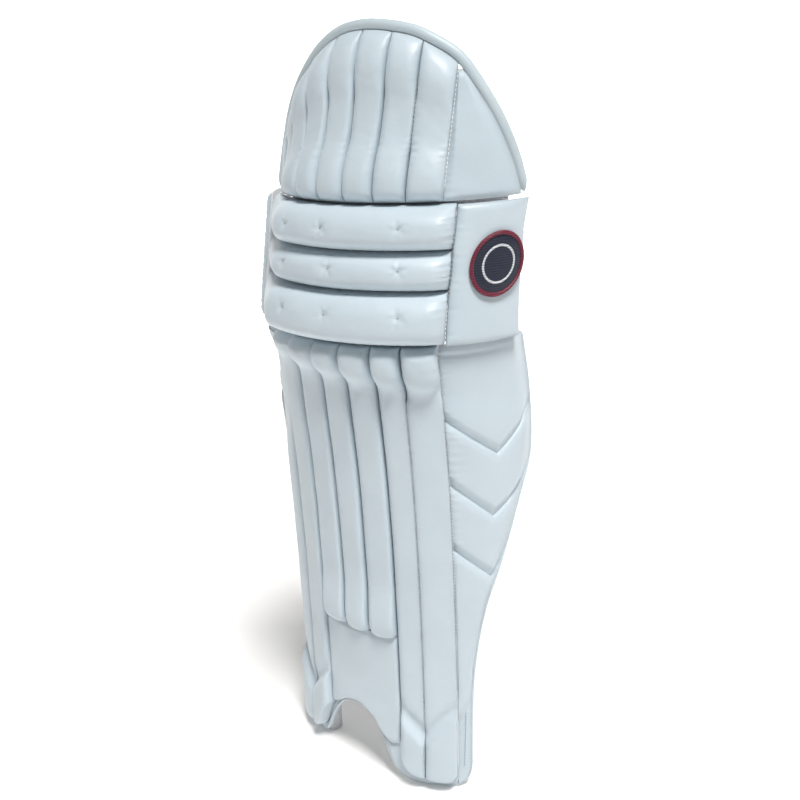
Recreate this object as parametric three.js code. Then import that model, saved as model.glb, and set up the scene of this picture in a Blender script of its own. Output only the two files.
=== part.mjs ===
// A cricket leg pad, standing upright on its two ankle lobes.
// Millimetres. +X is the pad's outer side, +Y runs back towards the leg and +Z is up.
// Every layer of the pad is a closed quilt laid on one curved surface: a girth s is measured round
// the leg from the shin's centre line, z is the height, and h is the distance out from the surface.
import * as THREE from "three";

// The curved surface: a broad front arc that turns into two tighter wing arcs, and a side profile.
const FRONT_RADIUS = 160;
const FRONT_GIRTH = 102;
const WING_RADIUS = 85;
const PROFILE = [[0, 0], [120, 6], [300, 8], [400, 3], [445, 0], [500, 11], [560, 25], [650, 49], [700, 63]];
const ORIGIN_IN_PLAN = [2.4, 66];

// Levels of the three sections, and the clearance that neighbouring pieces keep.
const GAP = 0.3;
const SHIN_TOP = 440.5;
const KNEE_BOTTOM = 442;
const ROLL_SEAMS = [442.4, 484.9, 516, 551];
const KNEE_TOP = 551;
const THIGH_BOTTOM = 552.6;

// Heights at which every piece has a row of corners, so that stacked layers bend together.
const SHIN_LEVELS = [90, 150, 220, 290, 350, 400, 420];
const KNEE_LEVELS = [462, 480, 498, 516, 532];

// Girths of the seams between the seven upright bolsters of the shin and of the thigh, from the inner side.
const SHIN_SEAMS = [-105.6, -71, -37, -6, 21, 49, 73.5, 103];
const THIGH_SEAMS = [-86, -68.2, -41, -13.7, 13.7, 41, 68.2, 97.7];
const BOLSTERS = 7;
const FIRST_SHORT = 2;
const LAST_SHORT = 4;
const SHIN_BULGE = 12;
const KNOB_BULGE = 22;
const KNOB_BOTTOM = 403;
const BULB_BULGE = 14;
const INSTEP_TOP = 157;
const ROLL_BULGES = [30, 25, 27];
const ROLL_END = 108.5;
const ROLL_FLOOR = 3.5;

// How full a roll is along its inner end, from its tip at -1: it thins as it turns round the leg.
const ROLL_INNER_END = [
  [-1, 0.1], [-0.96, 0.27], [-0.92, 0.33], [-0.83, 0.41], [-0.74, 0.49], [-0.65, 0.62], [-0.55, 0.78], [-0.46, 0.97],
  [-0.36, 1],
];

// How full each thigh bolster is: the inner ones are thinner, where the flap turns round the leg.
const THIGH_FULLNESS = [0.4, 0.8, 1, 1, 1, 1, 1];

// Canes: flat rods that slide into a channel behind each shin bolster.
const CANE_HALF_WIDTH = 5.3;
const CANE_THICKNESS = 3;
const CHANNEL_DEPTH = 3.9;

// Backing board, wings and liners.
const BACKING = 6;
const WING_INNER = -4;
const WING_BULGE = 8;
const LAP_INNER = 8;
const LAP_BULGE = 15;
const LAP_RECESS = 4;
const LAP_ZONE = 45;
const LINER_FACE = -6.9;
const OUTER_SHIN_SEAM = SHIN_SEAMS[7] + GAP;
const INNER_SHIN_SEAM = GAP - SHIN_SEAMS[0];
const OUTER_CALF_EDGE = [
  [0, 117], [90, 117.5], [140, 121.5], [190, 132], [230, 147], [290, 170], [328, 188], [375, 192], [441, 186],
];
const INNER_CALF_EDGE = [[0, 112], [105, 116], [190, 124], [260, 142], [330, 158], [400, 160], [441, 156]];
const OUTER_KNEE_EDGE = [[441, 171], [480, 167.5], [517, 165], [552, 167]];
const INNER_KNEE_EDGE = [[441, 160], [500, 163], [552, 156]];
const EDGE_ALLOWANCE = 3;

// The bottom edge, as girth and height: an arch over the instep between two rounded ankle lobes.
const BOTTOM_EDGE = [
  [-116, 20], [-111, 8], [-103, 2], [-92, 0.6], [-80, 0.6], [-70, 2], [-61, 7], [-53, 17], [-45, 32], [-36, 47],
  [-25, 60], [-14, 67], [0, 70], [12, 66.5], [21, 58], [28, 45], [34, 29], [40, 15], [49, 5.5], [60, 1.6], [75, 0.6],
  [98, 0.6], [106, 2.8], [112, 8], [116, 18],
];

// The centre line of the piping round the top, as girth and height, from the inner to the outer side.
const PIPING = 4.5;
const BINDING = 2.6;
const TOP_EDGE = [
  [-112, 554], [-108, 566], [-101, 592], [-94, 612], [-85, 628], [-74, 641.5], [-63, 652], [-38, 672], [-13, 684],
  [9, 687.5], [30, 686.5], [56, 681.5], [72, 675], [97, 660], [115, 640], [136, 612], [156, 580], [169, 554],
];

// Straps: a web that hinges behind the inner wing's rear edge, and a tab that presses on the outer wing.
const WEB_THICKNESS = 2;
const STRAP_STEPS = 26;

const clamp = THREE.MathUtils.clamp;

// A smooth curve through knots [x, value], with the slope at each knot taken from its neighbours.
function smooth(knots, x) {
  const last = knots.length - 1;
  const held = clamp(x, knots[0][0], knots[last][0]);
  let i = 0;
  while (i < last - 1 && held > knots[i + 1][0]) i += 1;
  const slope = (k) => {
    const a = knots[Math.max(k - 1, 0)];
    const b = knots[Math.min(k + 1, last)];
    return (b[1] - a[1]) / (b[0] - a[0]);
  };
  const width = knots[i + 1][0] - knots[i][0];
  const t = (held - knots[i][0]) / width;
  const rise = t * t * (3 - 2 * t);
  const lead = t * (1 - t) * (1 - t) * width * slope(i);
  const trail = t * t * (t - 1) * width * slope(i + 1);
  return knots[i][1] * (1 - rise) + knots[i + 1][1] * rise + lead + trail;
}

const stops = (count) => Array.from({ length: count + 1 }, (_, i) => i / count);
const mix = THREE.MathUtils.lerp;
const dome = (t) => Math.sqrt(Math.max(0, 1 - t * t));

// The point at girth s, height z and distance h out from the pad's surface.
function onPad(s, z, h) {
  const girth = Math.abs(s);
  const front = Math.min(girth, FRONT_GIRTH) / FRONT_RADIUS;
  const turn = front + Math.max(0, girth - FRONT_GIRTH) / WING_RADIUS;
  const x = FRONT_RADIUS * Math.sin(front) + WING_RADIUS * (Math.sin(turn) - Math.sin(front));
  const y = FRONT_RADIUS * (1 - Math.cos(front)) + WING_RADIUS * (Math.cos(front) - Math.cos(turn));
  return new THREE.Vector3(
    Math.sign(s) * (x + h * Math.sin(turn)),
    y + smooth(PROFILE, z) - h * Math.cos(turn),
    z,
  );
}

// One closed solid between an inner and an outer skin, from points on a grid of columns and rows.
function closedGrid(columns, rows, point) {
  const positions = [];
  const index = [];
  const across = columns.length;
  const up = rows.length;
  for (const side of [0, 1])
    for (const v of rows) for (const u of columns) positions.push(...point(u, v, side).toArray());
  const at = (side, j, i) => side * across * up + j * across + i;
  const quad = (a, b, c, d) => index.push(a, b, c, a, c, d);
  for (let j = 0; j < up - 1; j += 1)
    for (let i = 0; i < across - 1; i += 1) {
      quad(at(1, j, i), at(1, j, i + 1), at(1, j + 1, i + 1), at(1, j + 1, i));
      quad(at(0, j, i), at(0, j + 1, i), at(0, j + 1, i + 1), at(0, j, i + 1));
    }
  for (let i = 0; i < across - 1; i += 1) {
    quad(at(0, 0, i), at(0, 0, i + 1), at(1, 0, i + 1), at(1, 0, i));
    quad(at(1, up - 1, i), at(1, up - 1, i + 1), at(0, up - 1, i + 1), at(0, up - 1, i));
  }
  for (let j = 0; j < up - 1; j += 1) {
    quad(at(0, j, 0), at(1, j, 0), at(1, j + 1, 0), at(0, j + 1, 0));
    quad(at(1, j, across - 1), at(0, j, across - 1), at(0, j + 1, across - 1), at(1, j + 1, across - 1));
  }
  const geometry = new THREE.BufferGeometry();
  geometry.setAttribute("position", new THREE.Float32BufferAttribute(positions, 3));
  geometry.setIndex(index);
  const flat = geometry.toNonIndexed();
  flat.computeVertexNormals();
  return flat;
}

// A quilted piece on the pad's surface. at gives [s, z] for a grid place, inner and outer give h there.
function quilt({ columns, rows, at, inner, outer }) {
  return closedGrid(columns, rows, (u, v, side) => {
    const [s, z] = at(u, v);
    return onPad(s, z, (side ? outer : inner)(s, z, u, v));
  });
}

// A round cord of radius r along a smooth curve through points.
function cord(points, r, steps, sides = 8) {
  const ring = new THREE.Shape();
  const corner = (i) => [r * Math.cos((2 * Math.PI * i) / sides), r * Math.sin((2 * Math.PI * i) / sides)];
  ring.moveTo(...corner(0));
  for (let i = 1; i < sides; i += 1) ring.lineTo(...corner(i));
  ring.closePath();
  const extrudePath = new THREE.CatmullRomCurve3(points, false, "centripetal");
  return new THREE.ExtrudeGeometry(ring, { extrudePath, steps, curveSegments: 1 });
}

// ---- materials ----
const leather = { color: 0xe9ebee, roughness: 0.45, metalness: 0 };
const trim = { color: 0xdfe2e7, roughness: 0.5, metalness: 0 };
const lining = { color: 0xd9dbdf, roughness: 0.85, metalness: 0 };
const cane = { color: 0xc9a66b, roughness: 0.7, metalness: 0 };
const board = { color: 0xcfd2d6, roughness: 0.8, metalness: 0 };
const webbing = { color: 0xe4e6ea, roughness: 0.8, metalness: 0 };
const hook = { color: 0xb9bcc2, roughness: 0.95, metalness: 0 };
const navy = { color: 0x1a2340, roughness: 0.5, metalness: 0 };

const pad = new THREE.Group();
pad.position.set(-ORIGIN_IN_PLAN[0], -ORIGIN_IN_PLAN[1], 0);

function add(name, geometry, finish) {
  const mesh = new THREE.Mesh(geometry, new THREE.MeshStandardMaterial(finish));
  mesh.name = name;
  pad.add(mesh);
}

// ---- outlines ----
// Height of a panel's bottom edge at a girth, held back from the binding round the pad's bottom edge.
const FOOT_INSET = BINDING + 1.4;
const STEEPEST = 4;
function panelFoot(s) {
  const slope = (smooth(BOTTOM_EDGE, s + 1) - smooth(BOTTOM_EDGE, s - 1)) / 2;
  return smooth(BOTTOM_EDGE, s) + FOOT_INSET * Math.min(STEEPEST, Math.hypot(1, slope));
}

// Height of a panel's top edge at a girth, held back from the piping by its radius and a gap.
function topEdge(s) {
  const slope = smooth(TOP_EDGE, s + 1) - smooth(TOP_EDGE, s - 1);
  return smooth(TOP_EDGE, s) - (PIPING + 2 * GAP) * Math.hypot(1, slope / 2);
}

// Girth of the top wing's rear edge at a height, on the inner (-1) or outer (+1) side.
function topWingEdge(side, z) {
  const half = TOP_EDGE.filter(([s]) => side * s > 60).map(([s, height]) => [height, side * s]);
  const rising = half.sort((a, b) => a[0] - b[0]);
  const slope = (smooth(rising, z + 1) - smooth(rising, z - 1)) / 2;
  return smooth(rising, z) - (PIPING + 2 * GAP) * Math.hypot(1, slope);
}

const ACROSS = [-1, -0.84, -0.53, -0.46, 0, 0.46, 0.53, 0.84, 1];
const CHANNEL = 0.46;
const THINNEST = 1.8;

// The middle girth and half width of bolster k between its two seams.
function span(k, seams) {
  const from = seams[k] + GAP / 2;
  const to = seams[k + 1] - GAP / 2;
  return { middle: (from + to) / 2, half: (to - from) / 2 };
}

// ---- shin guard: the rigid lower section ----
const footGirths = BOTTOM_EDGE.map(([s]) => s).filter((s) => s > -102 && s < 100);
const shinGirths = [-104.5, ...footGirths, 101.8];
add("shin_backing", quilt({
  columns: shinGirths,
  rows: [0, ...SHIN_LEVELS, SHIN_TOP - 0.5],
  at: (s, z) => [s, z || panelFoot(s)],
  inner: () => -BACKING,
  outer: () => 0,
}), board);

for (let k = 0; k < BOLSTERS; k += 1) {
  const { middle, half } = span(k, SHIN_SEAMS);
  const short = k >= FIRST_SHORT && k <= LAST_SHORT;
  const foot = (s) => (short ? INSTEP_TOP + 5 * (1 - dome((s - middle) / half)) : panelFoot(s) + 0.4);
  const lift = (z, base) => {
    const above = z - base;
    const bulb = mix(BULB_BULGE, SHIN_BULGE, clamp((above - 22) / 18, 0, 1));
    const knob = mix(0, KNOB_BULGE - SHIN_BULGE, clamp((z - KNOB_BOTTOM + 8) / 8, 0, 1));
    const round = dome(clamp(1 - above / 14, 0, 0.96)) * dome(clamp(1 - (SHIN_TOP - z) / 12, 0, 0.9));
    return (bulb + knob) * round;
  };
  const rows = [0, 5, 14, ...SHIN_LEVELS.slice(short ? 2 : 0), 411, 437, SHIN_TOP].sort((a, b) => a - b);
  add(`shin_bolster_${k + 1}`, quilt({
    columns: ACROSS,
    rows,
    at: (t, row) => [middle + half * t, row < 20 ? foot(middle + half * t) + row : row],
    inner: (s, z, t) => (Math.abs(t) <= CHANNEL ? CHANNEL_DEPTH : 0.4),
    outer: (s, z, t) => Math.max(THINNEST, CHANNEL_DEPTH * dome(t) + 1.6, lift(z, foot(s)) * dome(t)),
  }), leather);
  const rodFoot = foot(middle) + 10;
  add(`shin_cane_${k + 1}`, quilt({
    columns: [middle - CANE_HALF_WIDTH, middle, middle + CANE_HALF_WIDTH],
    rows: [rodFoot, ...SHIN_LEVELS.filter((z) => z > rodFoot), SHIN_TOP - 6],
    at: (s, z) => [s, z],
    inner: () => 0.4,
    outer: () => 0.4 + CANE_THICKNESS,
  }), cane);
}

const INSTEP_FROM = SHIN_SEAMS[FIRST_SHORT] + GAP / 2;
const INSTEP_TO = SHIN_SEAMS[LAST_SHORT + 1] - GAP / 2;
const instepGirths = BOTTOM_EDGE.map(([s]) => s).filter((s) => s > INSTEP_FROM + 1 && s < INSTEP_TO - 1);
add("instep_panel", quilt({
  columns: [INSTEP_FROM, ...instepGirths, INSTEP_TO - 4, INSTEP_TO],
  rows: [0, 78, 90, 120, 150, INSTEP_TOP - 1],
  at: (s, z) => [s, z || panelFoot(s) + 0.4],
  inner: () => 0.5,
  outer: (s, z) => {
    const across = dome((2 * s - INSTEP_FROM - INSTEP_TO) / (INSTEP_TO - INSTEP_FROM));
    return 2 + 5 * across * dome(clamp((z - 115) / 42, -1, 1));
  },
}), leather);

// A calf wing runs from the shin's seam to its rear edge, and its foot follows the lobe.
function calfWing(side, front, edge) {
  const above = [34, 50, ...SHIN_LEVELS, 320, 392, 398, SHIN_TOP - GAP];
  return quilt({
    columns: stops(7),
    rows: [0, ...above.sort((a, b) => a - b)],
    at: (u, z) => {
      const s = side * mix(front, smooth(edge, z) - EDGE_ALLOWANCE, u);
      return [s, z || panelFoot(s) + 2.5];
    },
    inner: () => WING_INNER,
    outer: (s, z, u) => {
      const bulge = z > SHIN_TOP - LAP_ZONE ? LAP_RECESS : WING_BULGE;
      return mix(bulge, 0, Math.max(0, 2 * u - 1) ** 3) * mix(0.7, 1, dome(1 - clamp(4 * u, 0, 1)));
    },
  });
}

// The grid runs outwards on the outer side, so the inner side's columns are mirrored to keep faces out.
function mirrored(geometry) {
  const position = geometry.getAttribute("position");
  for (let i = 0; i < position.count; i += 3) {
    const a = new THREE.Vector3().fromBufferAttribute(position, i);
    const b = new THREE.Vector3().fromBufferAttribute(position, i + 1);
    position.setXYZ(i, b.x, b.y, b.z);
    position.setXYZ(i + 1, a.x, a.y, a.z);
  }
  geometry.computeVertexNormals();
  return geometry;
}

add("outer_calf_wing", calfWing(1, OUTER_SHIN_SEAM, OUTER_CALF_EDGE), leather);
add("inner_calf_wing", mirrored(calfWing(-1, INNER_SHIN_SEAM, INNER_CALF_EDGE)), leather);

const BINDING_LIFT = -2;
const bindingPath = BOTTOM_EDGE.map(([s, z]) => onPad(s, z + BINDING / 2, BINDING_LIFT));
add("lower_binding", cord(bindingPath, BINDING / 2, 64, 6), trim);

// ---- liners behind the shin: the leg rests against their back faces ----
function liner(s0, s1, z0, z1, depth, levels) {
  const middle = (s0 + s1) / 2;
  const half = (s1 - s0) / 2;
  return quilt({
    columns: [-1, -0.8, -0.35, 0.35, 0.8, 1],
    rows: [z0, z0 + 12, ...levels.filter((z) => z > z0 + 20 && z < z1 - 20), z1 - 12, z1],
    at: (t, z) => [middle + half * t, z],
    inner: (s, z, t) => LINER_FACE - 3 - (depth - 3) * dome(t) * Math.min(1, (z - z0) / 12, (z1 - z) / 12),
    outer: () => LINER_FACE,
  });
}

const REST_PLANE = 27;
const REST_HALF_WIDTH = 24;
const flatBack = (s, z) => {
  const turn = s / FRONT_RADIUS;
  const surface = FRONT_RADIUS * (1 - Math.cos(turn)) + smooth(PROFILE, z);
  return (surface - REST_PLANE) / Math.cos(turn);
};
add("shin_liner_centre", quilt({
  columns: [-REST_HALF_WIDTH, -12, 0, 12, REST_HALF_WIDTH],
  rows: [...SHIN_LEVELS, 432],
  at: (s, z) => [s, z],
  inner: flatBack,
  outer: () => LINER_FACE,
}), lining);
add("shin_liner_inner", liner(-58, -26, 84, 432, 15, SHIN_LEVELS), lining);
add("shin_liner_outer", liner(26, 58, 84, 432, 15, SHIN_LEVELS), lining);

// The ankle pads carry the standing pad on their flat undersides.
const ANKLE_DEPTH = 16;
function anklePad(s0, s1) {
  return quilt({
    columns: [s0, (3 * s0 + s1) / 4, (s0 + s1) / 2, (s0 + 3 * s1) / 4, s1],
    rows: [0, 50, 90, 150, 208, 215],
    at: (s, z) => [s, z],
    inner: (s, z) => LINER_FACE - (z > 210 ? 4 : ANKLE_DEPTH),
    outer: () => LINER_FACE,
  });
}
add("ankle_pad_inner", anklePad(-99, -64), lining);
add("ankle_pad_outer", anklePad(64, 99), lining);

// ---- knee section ----
const kneeGirths = [-107, -95, -80, -64, -48, -32, -16, 0, 16, 32, 48, 64, 80, 95, 107];
add("knee_backing", quilt({
  columns: kneeGirths,
  rows: [KNEE_BOTTOM + 1.5, ...KNEE_LEVELS, KNEE_TOP - 2],
  at: (s, z) => [s, z],
  inner: () => -BACKING,
  outer: () => 0,
}), board);

const rollFullness = (u) => (u < 0 ? smooth(ROLL_INNER_END, u) : dome(clamp((u - 0.8) / 0.21, 0, 1)));
["lower", "middle", "upper"].forEach((name, k) => {
  const bottom = ROLL_SEAMS[k] + GAP / 2;
  const top = ROLL_SEAMS[k + 1] - GAP / 2;
  add(`knee_roll_${name}`, quilt({
    columns: [-1, -0.97, -0.88, -0.72, -0.54, -0.36, -0.18, 0, 0.18, 0.36, 0.54, 0.72, 0.88, 0.97, 1],
    rows: [-1, -0.85, -0.5, 0, 0.5, 0.85, 1],
    at: (u, v) => [u * ROLL_END, mix(bottom, top, (v + 1) / 2)],
    inner: () => 0.5,
    outer: (s, z, u, v) => ROLL_FLOOR + (ROLL_BULGES[k] - ROLL_FLOOR) * dome(v) * rollFullness(u),
  }), leather);
});

function kneeWing(side, edge) {
  const lap = (z) => z < KNEE_BOTTOM + 30 || z > KNEE_TOP - 24;
  return quilt({
    columns: [0, 0.08, 0.3, 0.5, 0.7, 0.92, 1],
    rows: [KNEE_BOTTOM, 446, 471.5, 472.5, 500, 526.5, 527.5, 547, KNEE_TOP],
    at: (u, z) => [side * mix(ROLL_END + 1.5, smooth(edge, z) - EDGE_ALLOWANCE, u), z],
    inner: (s, z) => (lap(z) ? LAP_INNER : WING_INNER),
    outer: (s, z, u) => {
      const rim = Math.min(u / 0.3, (1 - u) / 0.3, (z - KNEE_BOTTOM) / 12, (KNEE_TOP - z) / 12, 1);
      return mix(LAP_INNER + 3, LAP_BULGE, dome(1 - clamp(rim, 0, 1)));
    },
  });
}
add("outer_knee_wing", kneeWing(1, OUTER_KNEE_EDGE), leather);
add("inner_knee_wing", mirrored(kneeWing(-1, INNER_KNEE_EDGE)), leather);

// An oval badge on the outer knee wing.
const BADGE = { s: 141, z: 504, halfWidth: 21, halfHeight: 26, thickness: 1.6 };
add("badge", quilt({
  columns: [-1, -0.5, 0, 0.5, 1],
  rows: [-1, -0.5, 0, 0.5, 1],
  at: (u, v) => [
    BADGE.s + BADGE.halfWidth * u * Math.sqrt(1 - (v * v) / 2),
    BADGE.z + BADGE.halfHeight * v * Math.sqrt(1 - (u * u) / 2),
  ],
  inner: () => LAP_BULGE + 0.6,
  outer: () => LAP_BULGE + 0.6 + BADGE.thickness,
}), navy);

add("knee_cup_inner", liner(-86, -30, 454, 541, 17, KNEE_LEVELS), lining);
add("knee_cup_outer", liner(30, 86, 454, 541, 17, KNEE_LEVELS), lining);

// ---- top hat: the flap over the thigh ----
const thighGirths = [-84.5, -77, -70, -55, -40, -25, -10, 9, 25, 40, 55, 70, 84, 96];
add("thigh_backing", quilt({
  columns: thighGirths,
  rows: [0, 0.35, 0.7, 1],
  at: (s, v) => [s, mix(THIGH_BOTTOM + 2, topEdge(s), v)],
  inner: () => -BACKING + 1,
  outer: () => 0,
}), board);

const THIGH_BULGES = [[0, 6], [0.06, 14], [0.18, 18], [0.5, 11], [0.8, 15], [0.92, 12], [1, 5]];
for (let k = 0; k < BOLSTERS; k += 1) {
  const { middle, half } = span(k, THIGH_SEAMS);
  add(`thigh_bolster_${k + 1}`, quilt({
    columns: [-1, -0.84, -0.45, 0, 0.45, 0.84, 1],
    rows: [0, 0.06, 0.18, 0.34, 0.5, 0.65, 0.8, 0.92, 1],
    at: (t, v) => {
      const s = middle + half * t;
      return [s, mix(THIGH_BOTTOM, topEdge(s) - 1, v)];
    },
    inner: () => 0.4,
    outer: (s, z, t, v) => THINNEST + (THIGH_FULLNESS[k] * smooth(THIGH_BULGES, v) - THINNEST) * dome(t),
  }), leather);
}

function topWing(side, seam, top) {
  const front = seam + GAP;
  return quilt({
    columns: stops(5),
    rows: [0, 0.15, 0.3, 0.32, 0.5, 0.7, 0.88, 1],
    at: (u, v) => {
      const z = mix(THIGH_BOTTOM, top, v);
      return [side * mix(front, topWingEdge(side, z), u), z];
    },
    inner: () => WING_INNER,
    outer: (s, z, u) => (z < THIGH_BOTTOM + 28 ? LAP_RECESS : 6) * mix(1, 0.3, Math.max(0, 2 * u - 1) ** 2),
  });
}
add("outer_top_wing", topWing(1, THIGH_SEAMS[7], 650), leather);
add("inner_top_wing", mirrored(topWing(-1, -THIGH_SEAMS[0], 604)), leather);
add("top_binding", cord(TOP_EDGE.map(([s, z]) => onPad(s, z, 0)), PIPING, 56), trim);
add("thigh_liner", quilt({
  columns: [-1, -0.85, -0.5, 0, 0.5, 0.85, 1],
  rows: [0, 0.08, 0.5, 0.92, 1],
  at: (t, v) => [82 * t, mix(568, topEdge(82 * t) - 14, v)],
  inner: (s, z, t, v) => {
    const rim = Math.min(1, 8 * v, 8 * (1 - v)) * Math.min(1, 5 * (1 - Math.abs(t)));
    return LINER_FACE - 3 - 9 * rim;
  },
  outer: () => LINER_FACE,
}), lining);

// ---- straps ----
// Each strap's web runs round the back of the leg through points in plan, starting at its hinge.
const STRAPS = [
  {
    name: "ankle", z: 150, width: 32, wing: INNER_CALF_EDGE, end: [107.5, 118],
    bend: [[-94, 84], [-32, 98], [36, 95], [84, 80]],
  },
  {
    name: "calf", z: 330, width: 44, wing: INNER_CALF_EDGE, end: [146, 170],
    bend: [[-114, 112], [-48, 138], [30, 145], [92, 137], [117, 117]],
  },
  {
    name: "knee", z: 500, width: 38, wing: INNER_KNEE_EDGE, end: [136, 160],
    bend: [[-118, 124], [-52, 150], [26, 158], [90, 144], [117, 122]],
  },
];
const TAB_FACE = -7.6;
const HOOK_FACE = WING_INNER - 1.6;
const CUSHION = 7;
const CUSHION_BORDER = 6;
const CUSHION_STEPS = 12;
const CUSHION_SPAN = [0.2, 0.66];
const PATCH_GAP = 0.6;
const HINGE_SETBACK = 4;
const ANCHOR_WIDTH = 24;

// A flat band standing on edge along a plan curve, which leans back with the pad's side profile.
function band(curve, from, to, steps, z0, z1, near, far) {
  const level = smooth(PROFILE, (z0 + z1) / 2);
  return closedGrid(stops(steps), [z0, z1], (u, z, side) => {
    const t = mix(from, to, u);
    const place = curve.getPointAt(t);
    const along = curve.getTangentAt(t);
    const out = side ? far : near;
    return new THREE.Vector3(place.x - along.y * out, place.y + along.x * out + smooth(PROFILE, z) - level, z);
  });
}

for (const strap of STRAPS) {
  const low = strap.z - strap.width / 2;
  const high = strap.z + strap.width / 2;
  const edge = EDGE_ALLOWANCE - smooth(strap.wing, strap.z);
  const hinge = onPad(edge - HINGE_SETBACK, strap.z, -1);
  const tab = [strap.end[1], (strap.end[0] + strap.end[1]) / 2, strap.end[0]];
  const plan = [
    hinge,
    ...strap.bend.map(([x, y]) => new THREE.Vector3(x, y, strap.z)),
    ...tab.map((s) => onPad(s, strap.z, TAB_FACE - WEB_THICKNESS / 2 - GAP)),
  ];
  plan.forEach((point) => point.setZ(0));
  const curve = new THREE.CatmullRomCurve3(plan, false, "centripetal");
  const half = WEB_THICKNESS / 2;
  const web = band(curve, 0, 1, STRAP_STEPS, low, high, half, -half);
  add(`${strap.name}_strap_web`, web, webbing);
  const backs = [-half - GAP, -half - GAP - CUSHION];
  if (strap.name !== "ankle") {
    const levels = [low - CUSHION_BORDER, high + CUSHION_BORDER];
    const cushion = band(curve, ...CUSHION_SPAN, CUSHION_STEPS, ...levels, ...backs);
    add(`${strap.name}_strap_cushion`, cushion, lining);
  }
  const patch = (s0, s1, near, far) => quilt({
    columns: [s0, (s0 + s1) / 2, s1],
    rows: [low, high],
    at: (s, z) => [s, z],
    inner: () => near,
    outer: () => far,
  });
  const [from, to] = strap.end;
  const anchorTo = Math.min(edge + ANCHOR_WIDTH, -INNER_SHIN_SEAM - 1.5);
  const outside = WING_INNER - PATCH_GAP;
  add(`${strap.name}_hook_patch`, patch(from, to, HOOK_FACE, outside), hook);
  add(`${strap.name}_strap_tab`, patch(from + 1, to - 1, TAB_FACE + GAP, HOOK_FACE - GAP), hook);
  add(`${strap.name}_strap_anchor`, patch(edge + 1, anchorTo, HOOK_FACE - 0.7, outside), webbing);
}

export default pad;
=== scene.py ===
"""Looks of a cricket leg pad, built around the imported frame.

Sizes are in millimetres. A place on the pad is a girth s, measured round the leg from the shin's centre line
and positive on the outer side, a height z, and a lift h, out from the pad's curved surface. on_pad turns
these into metres in the row frame.
"""

import math

import bpy
import numpy as np
from mathutils import Matrix, Vector


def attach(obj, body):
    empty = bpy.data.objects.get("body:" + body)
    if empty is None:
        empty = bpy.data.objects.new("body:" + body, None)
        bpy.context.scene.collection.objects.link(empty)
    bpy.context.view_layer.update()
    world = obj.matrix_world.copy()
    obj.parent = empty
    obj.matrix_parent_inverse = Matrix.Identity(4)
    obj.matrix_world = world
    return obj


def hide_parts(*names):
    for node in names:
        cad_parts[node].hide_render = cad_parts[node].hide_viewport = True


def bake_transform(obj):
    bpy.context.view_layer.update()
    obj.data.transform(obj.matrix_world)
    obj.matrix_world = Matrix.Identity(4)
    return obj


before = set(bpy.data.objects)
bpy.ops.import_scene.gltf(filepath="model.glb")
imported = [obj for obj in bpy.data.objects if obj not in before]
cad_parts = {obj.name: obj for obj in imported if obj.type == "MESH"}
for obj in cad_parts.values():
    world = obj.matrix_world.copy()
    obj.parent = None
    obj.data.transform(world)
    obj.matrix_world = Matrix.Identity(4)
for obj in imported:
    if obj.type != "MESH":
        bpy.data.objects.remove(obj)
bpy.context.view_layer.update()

# ---- driving dimensions, as in the CAD model ----
MM = 0.001
FRONT_RADIUS = 160
FRONT_GIRTH = 102
WING_RADIUS = 85
PROFILE = [(0, 0), (120, 6), (300, 8), (400, 3), (445, 0), (500, 11), (560, 25), (650, 49), (700, 63)]
ORIGIN_IN_PLAN = (2.4, 66)

GAP = 0.3
SHIN_TOP = 440.5
KNEE_BOTTOM = 442
ROLL_SEAMS = (442.4, 484.9, 516, 551)
ROLL_BULGES = (30, 25, 27)
ROLL_END = 108.5
KNEE_TOP = 551
THIGH_BOTTOM = 552.6

BOLSTERS = 7
LINER_RIB_PITCH = 27.3
SHIN_SEAMS = (-105.6, -71, -37, -6, 21, 49, 73.5, 103)
THIGH_SEAMS = (-86, -68.2, -41, -13.7, 13.7, 41, 68.2, 97.7)
THIGH_FULLNESS = (0.4, 0.8, 1, 1, 1, 1, 1)
ROLL_INNER_END = [
    (-1, 0.1), (-0.96, 0.27), (-0.92, 0.33), (-0.83, 0.41), (-0.74, 0.49), (-0.65, 0.62), (-0.55, 0.78),
    (-0.46, 0.97), (-0.36, 1),
]
CHANNEL_DEPTH = 3.9
INSTEP_TOP = 157
OUTER_SHIN_SEAM = 103.3
INNER_SHIN_SEAM = 105.9

BACKING = 6
WING_INNER = -4
LAP_INNER = 8
LINER_FACE = -6.9
EDGE_ALLOWANCE = 3
OUTER_CALF_EDGE = [
    (0, 117), (90, 117.5), (140, 121.5), (190, 132), (230, 147), (290, 170), (328, 188), (375, 192), (441, 186),
]
INNER_CALF_EDGE = [(0, 112), (105, 116), (190, 124), (260, 142), (330, 158), (400, 160), (441, 156)]
OUTER_KNEE_EDGE = [(441, 171), (480, 167.5), (517, 165), (552, 167)]
INNER_KNEE_EDGE = [(441, 160), (500, 163), (552, 156)]

BOTTOM_EDGE = [
    (-116, 20), (-111, 8), (-103, 2), (-92, 0.6), (-80, 0.6), (-70, 2), (-61, 7), (-53, 17), (-45, 32), (-36, 47),
    (-25, 60), (-14, 67), (0, 70), (12, 66.5), (21, 58), (28, 45), (34, 29), (40, 15), (49, 5.5), (60, 1.6),
    (75, 0.6), (98, 0.6), (106, 2.8), (112, 8), (116, 18),
]

PIPING = 4.5
BINDING = 2.6
BINDING_DEPTH = 5.6
TOP_EDGE = [
    (-112, 554), (-108, 566), (-101, 592), (-94, 612), (-85, 628), (-74, 641.5), (-63, 652), (-38, 672), (-13, 684),
    (9, 687.5), (30, 686.5), (56, 681.5), (72, 675), (97, 660), (115, 640), (136, 612), (156, 580), (169, 554),
]

SHIN, KNEE, TOP = "shin_guard", "knee_section", "top_hat"


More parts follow.
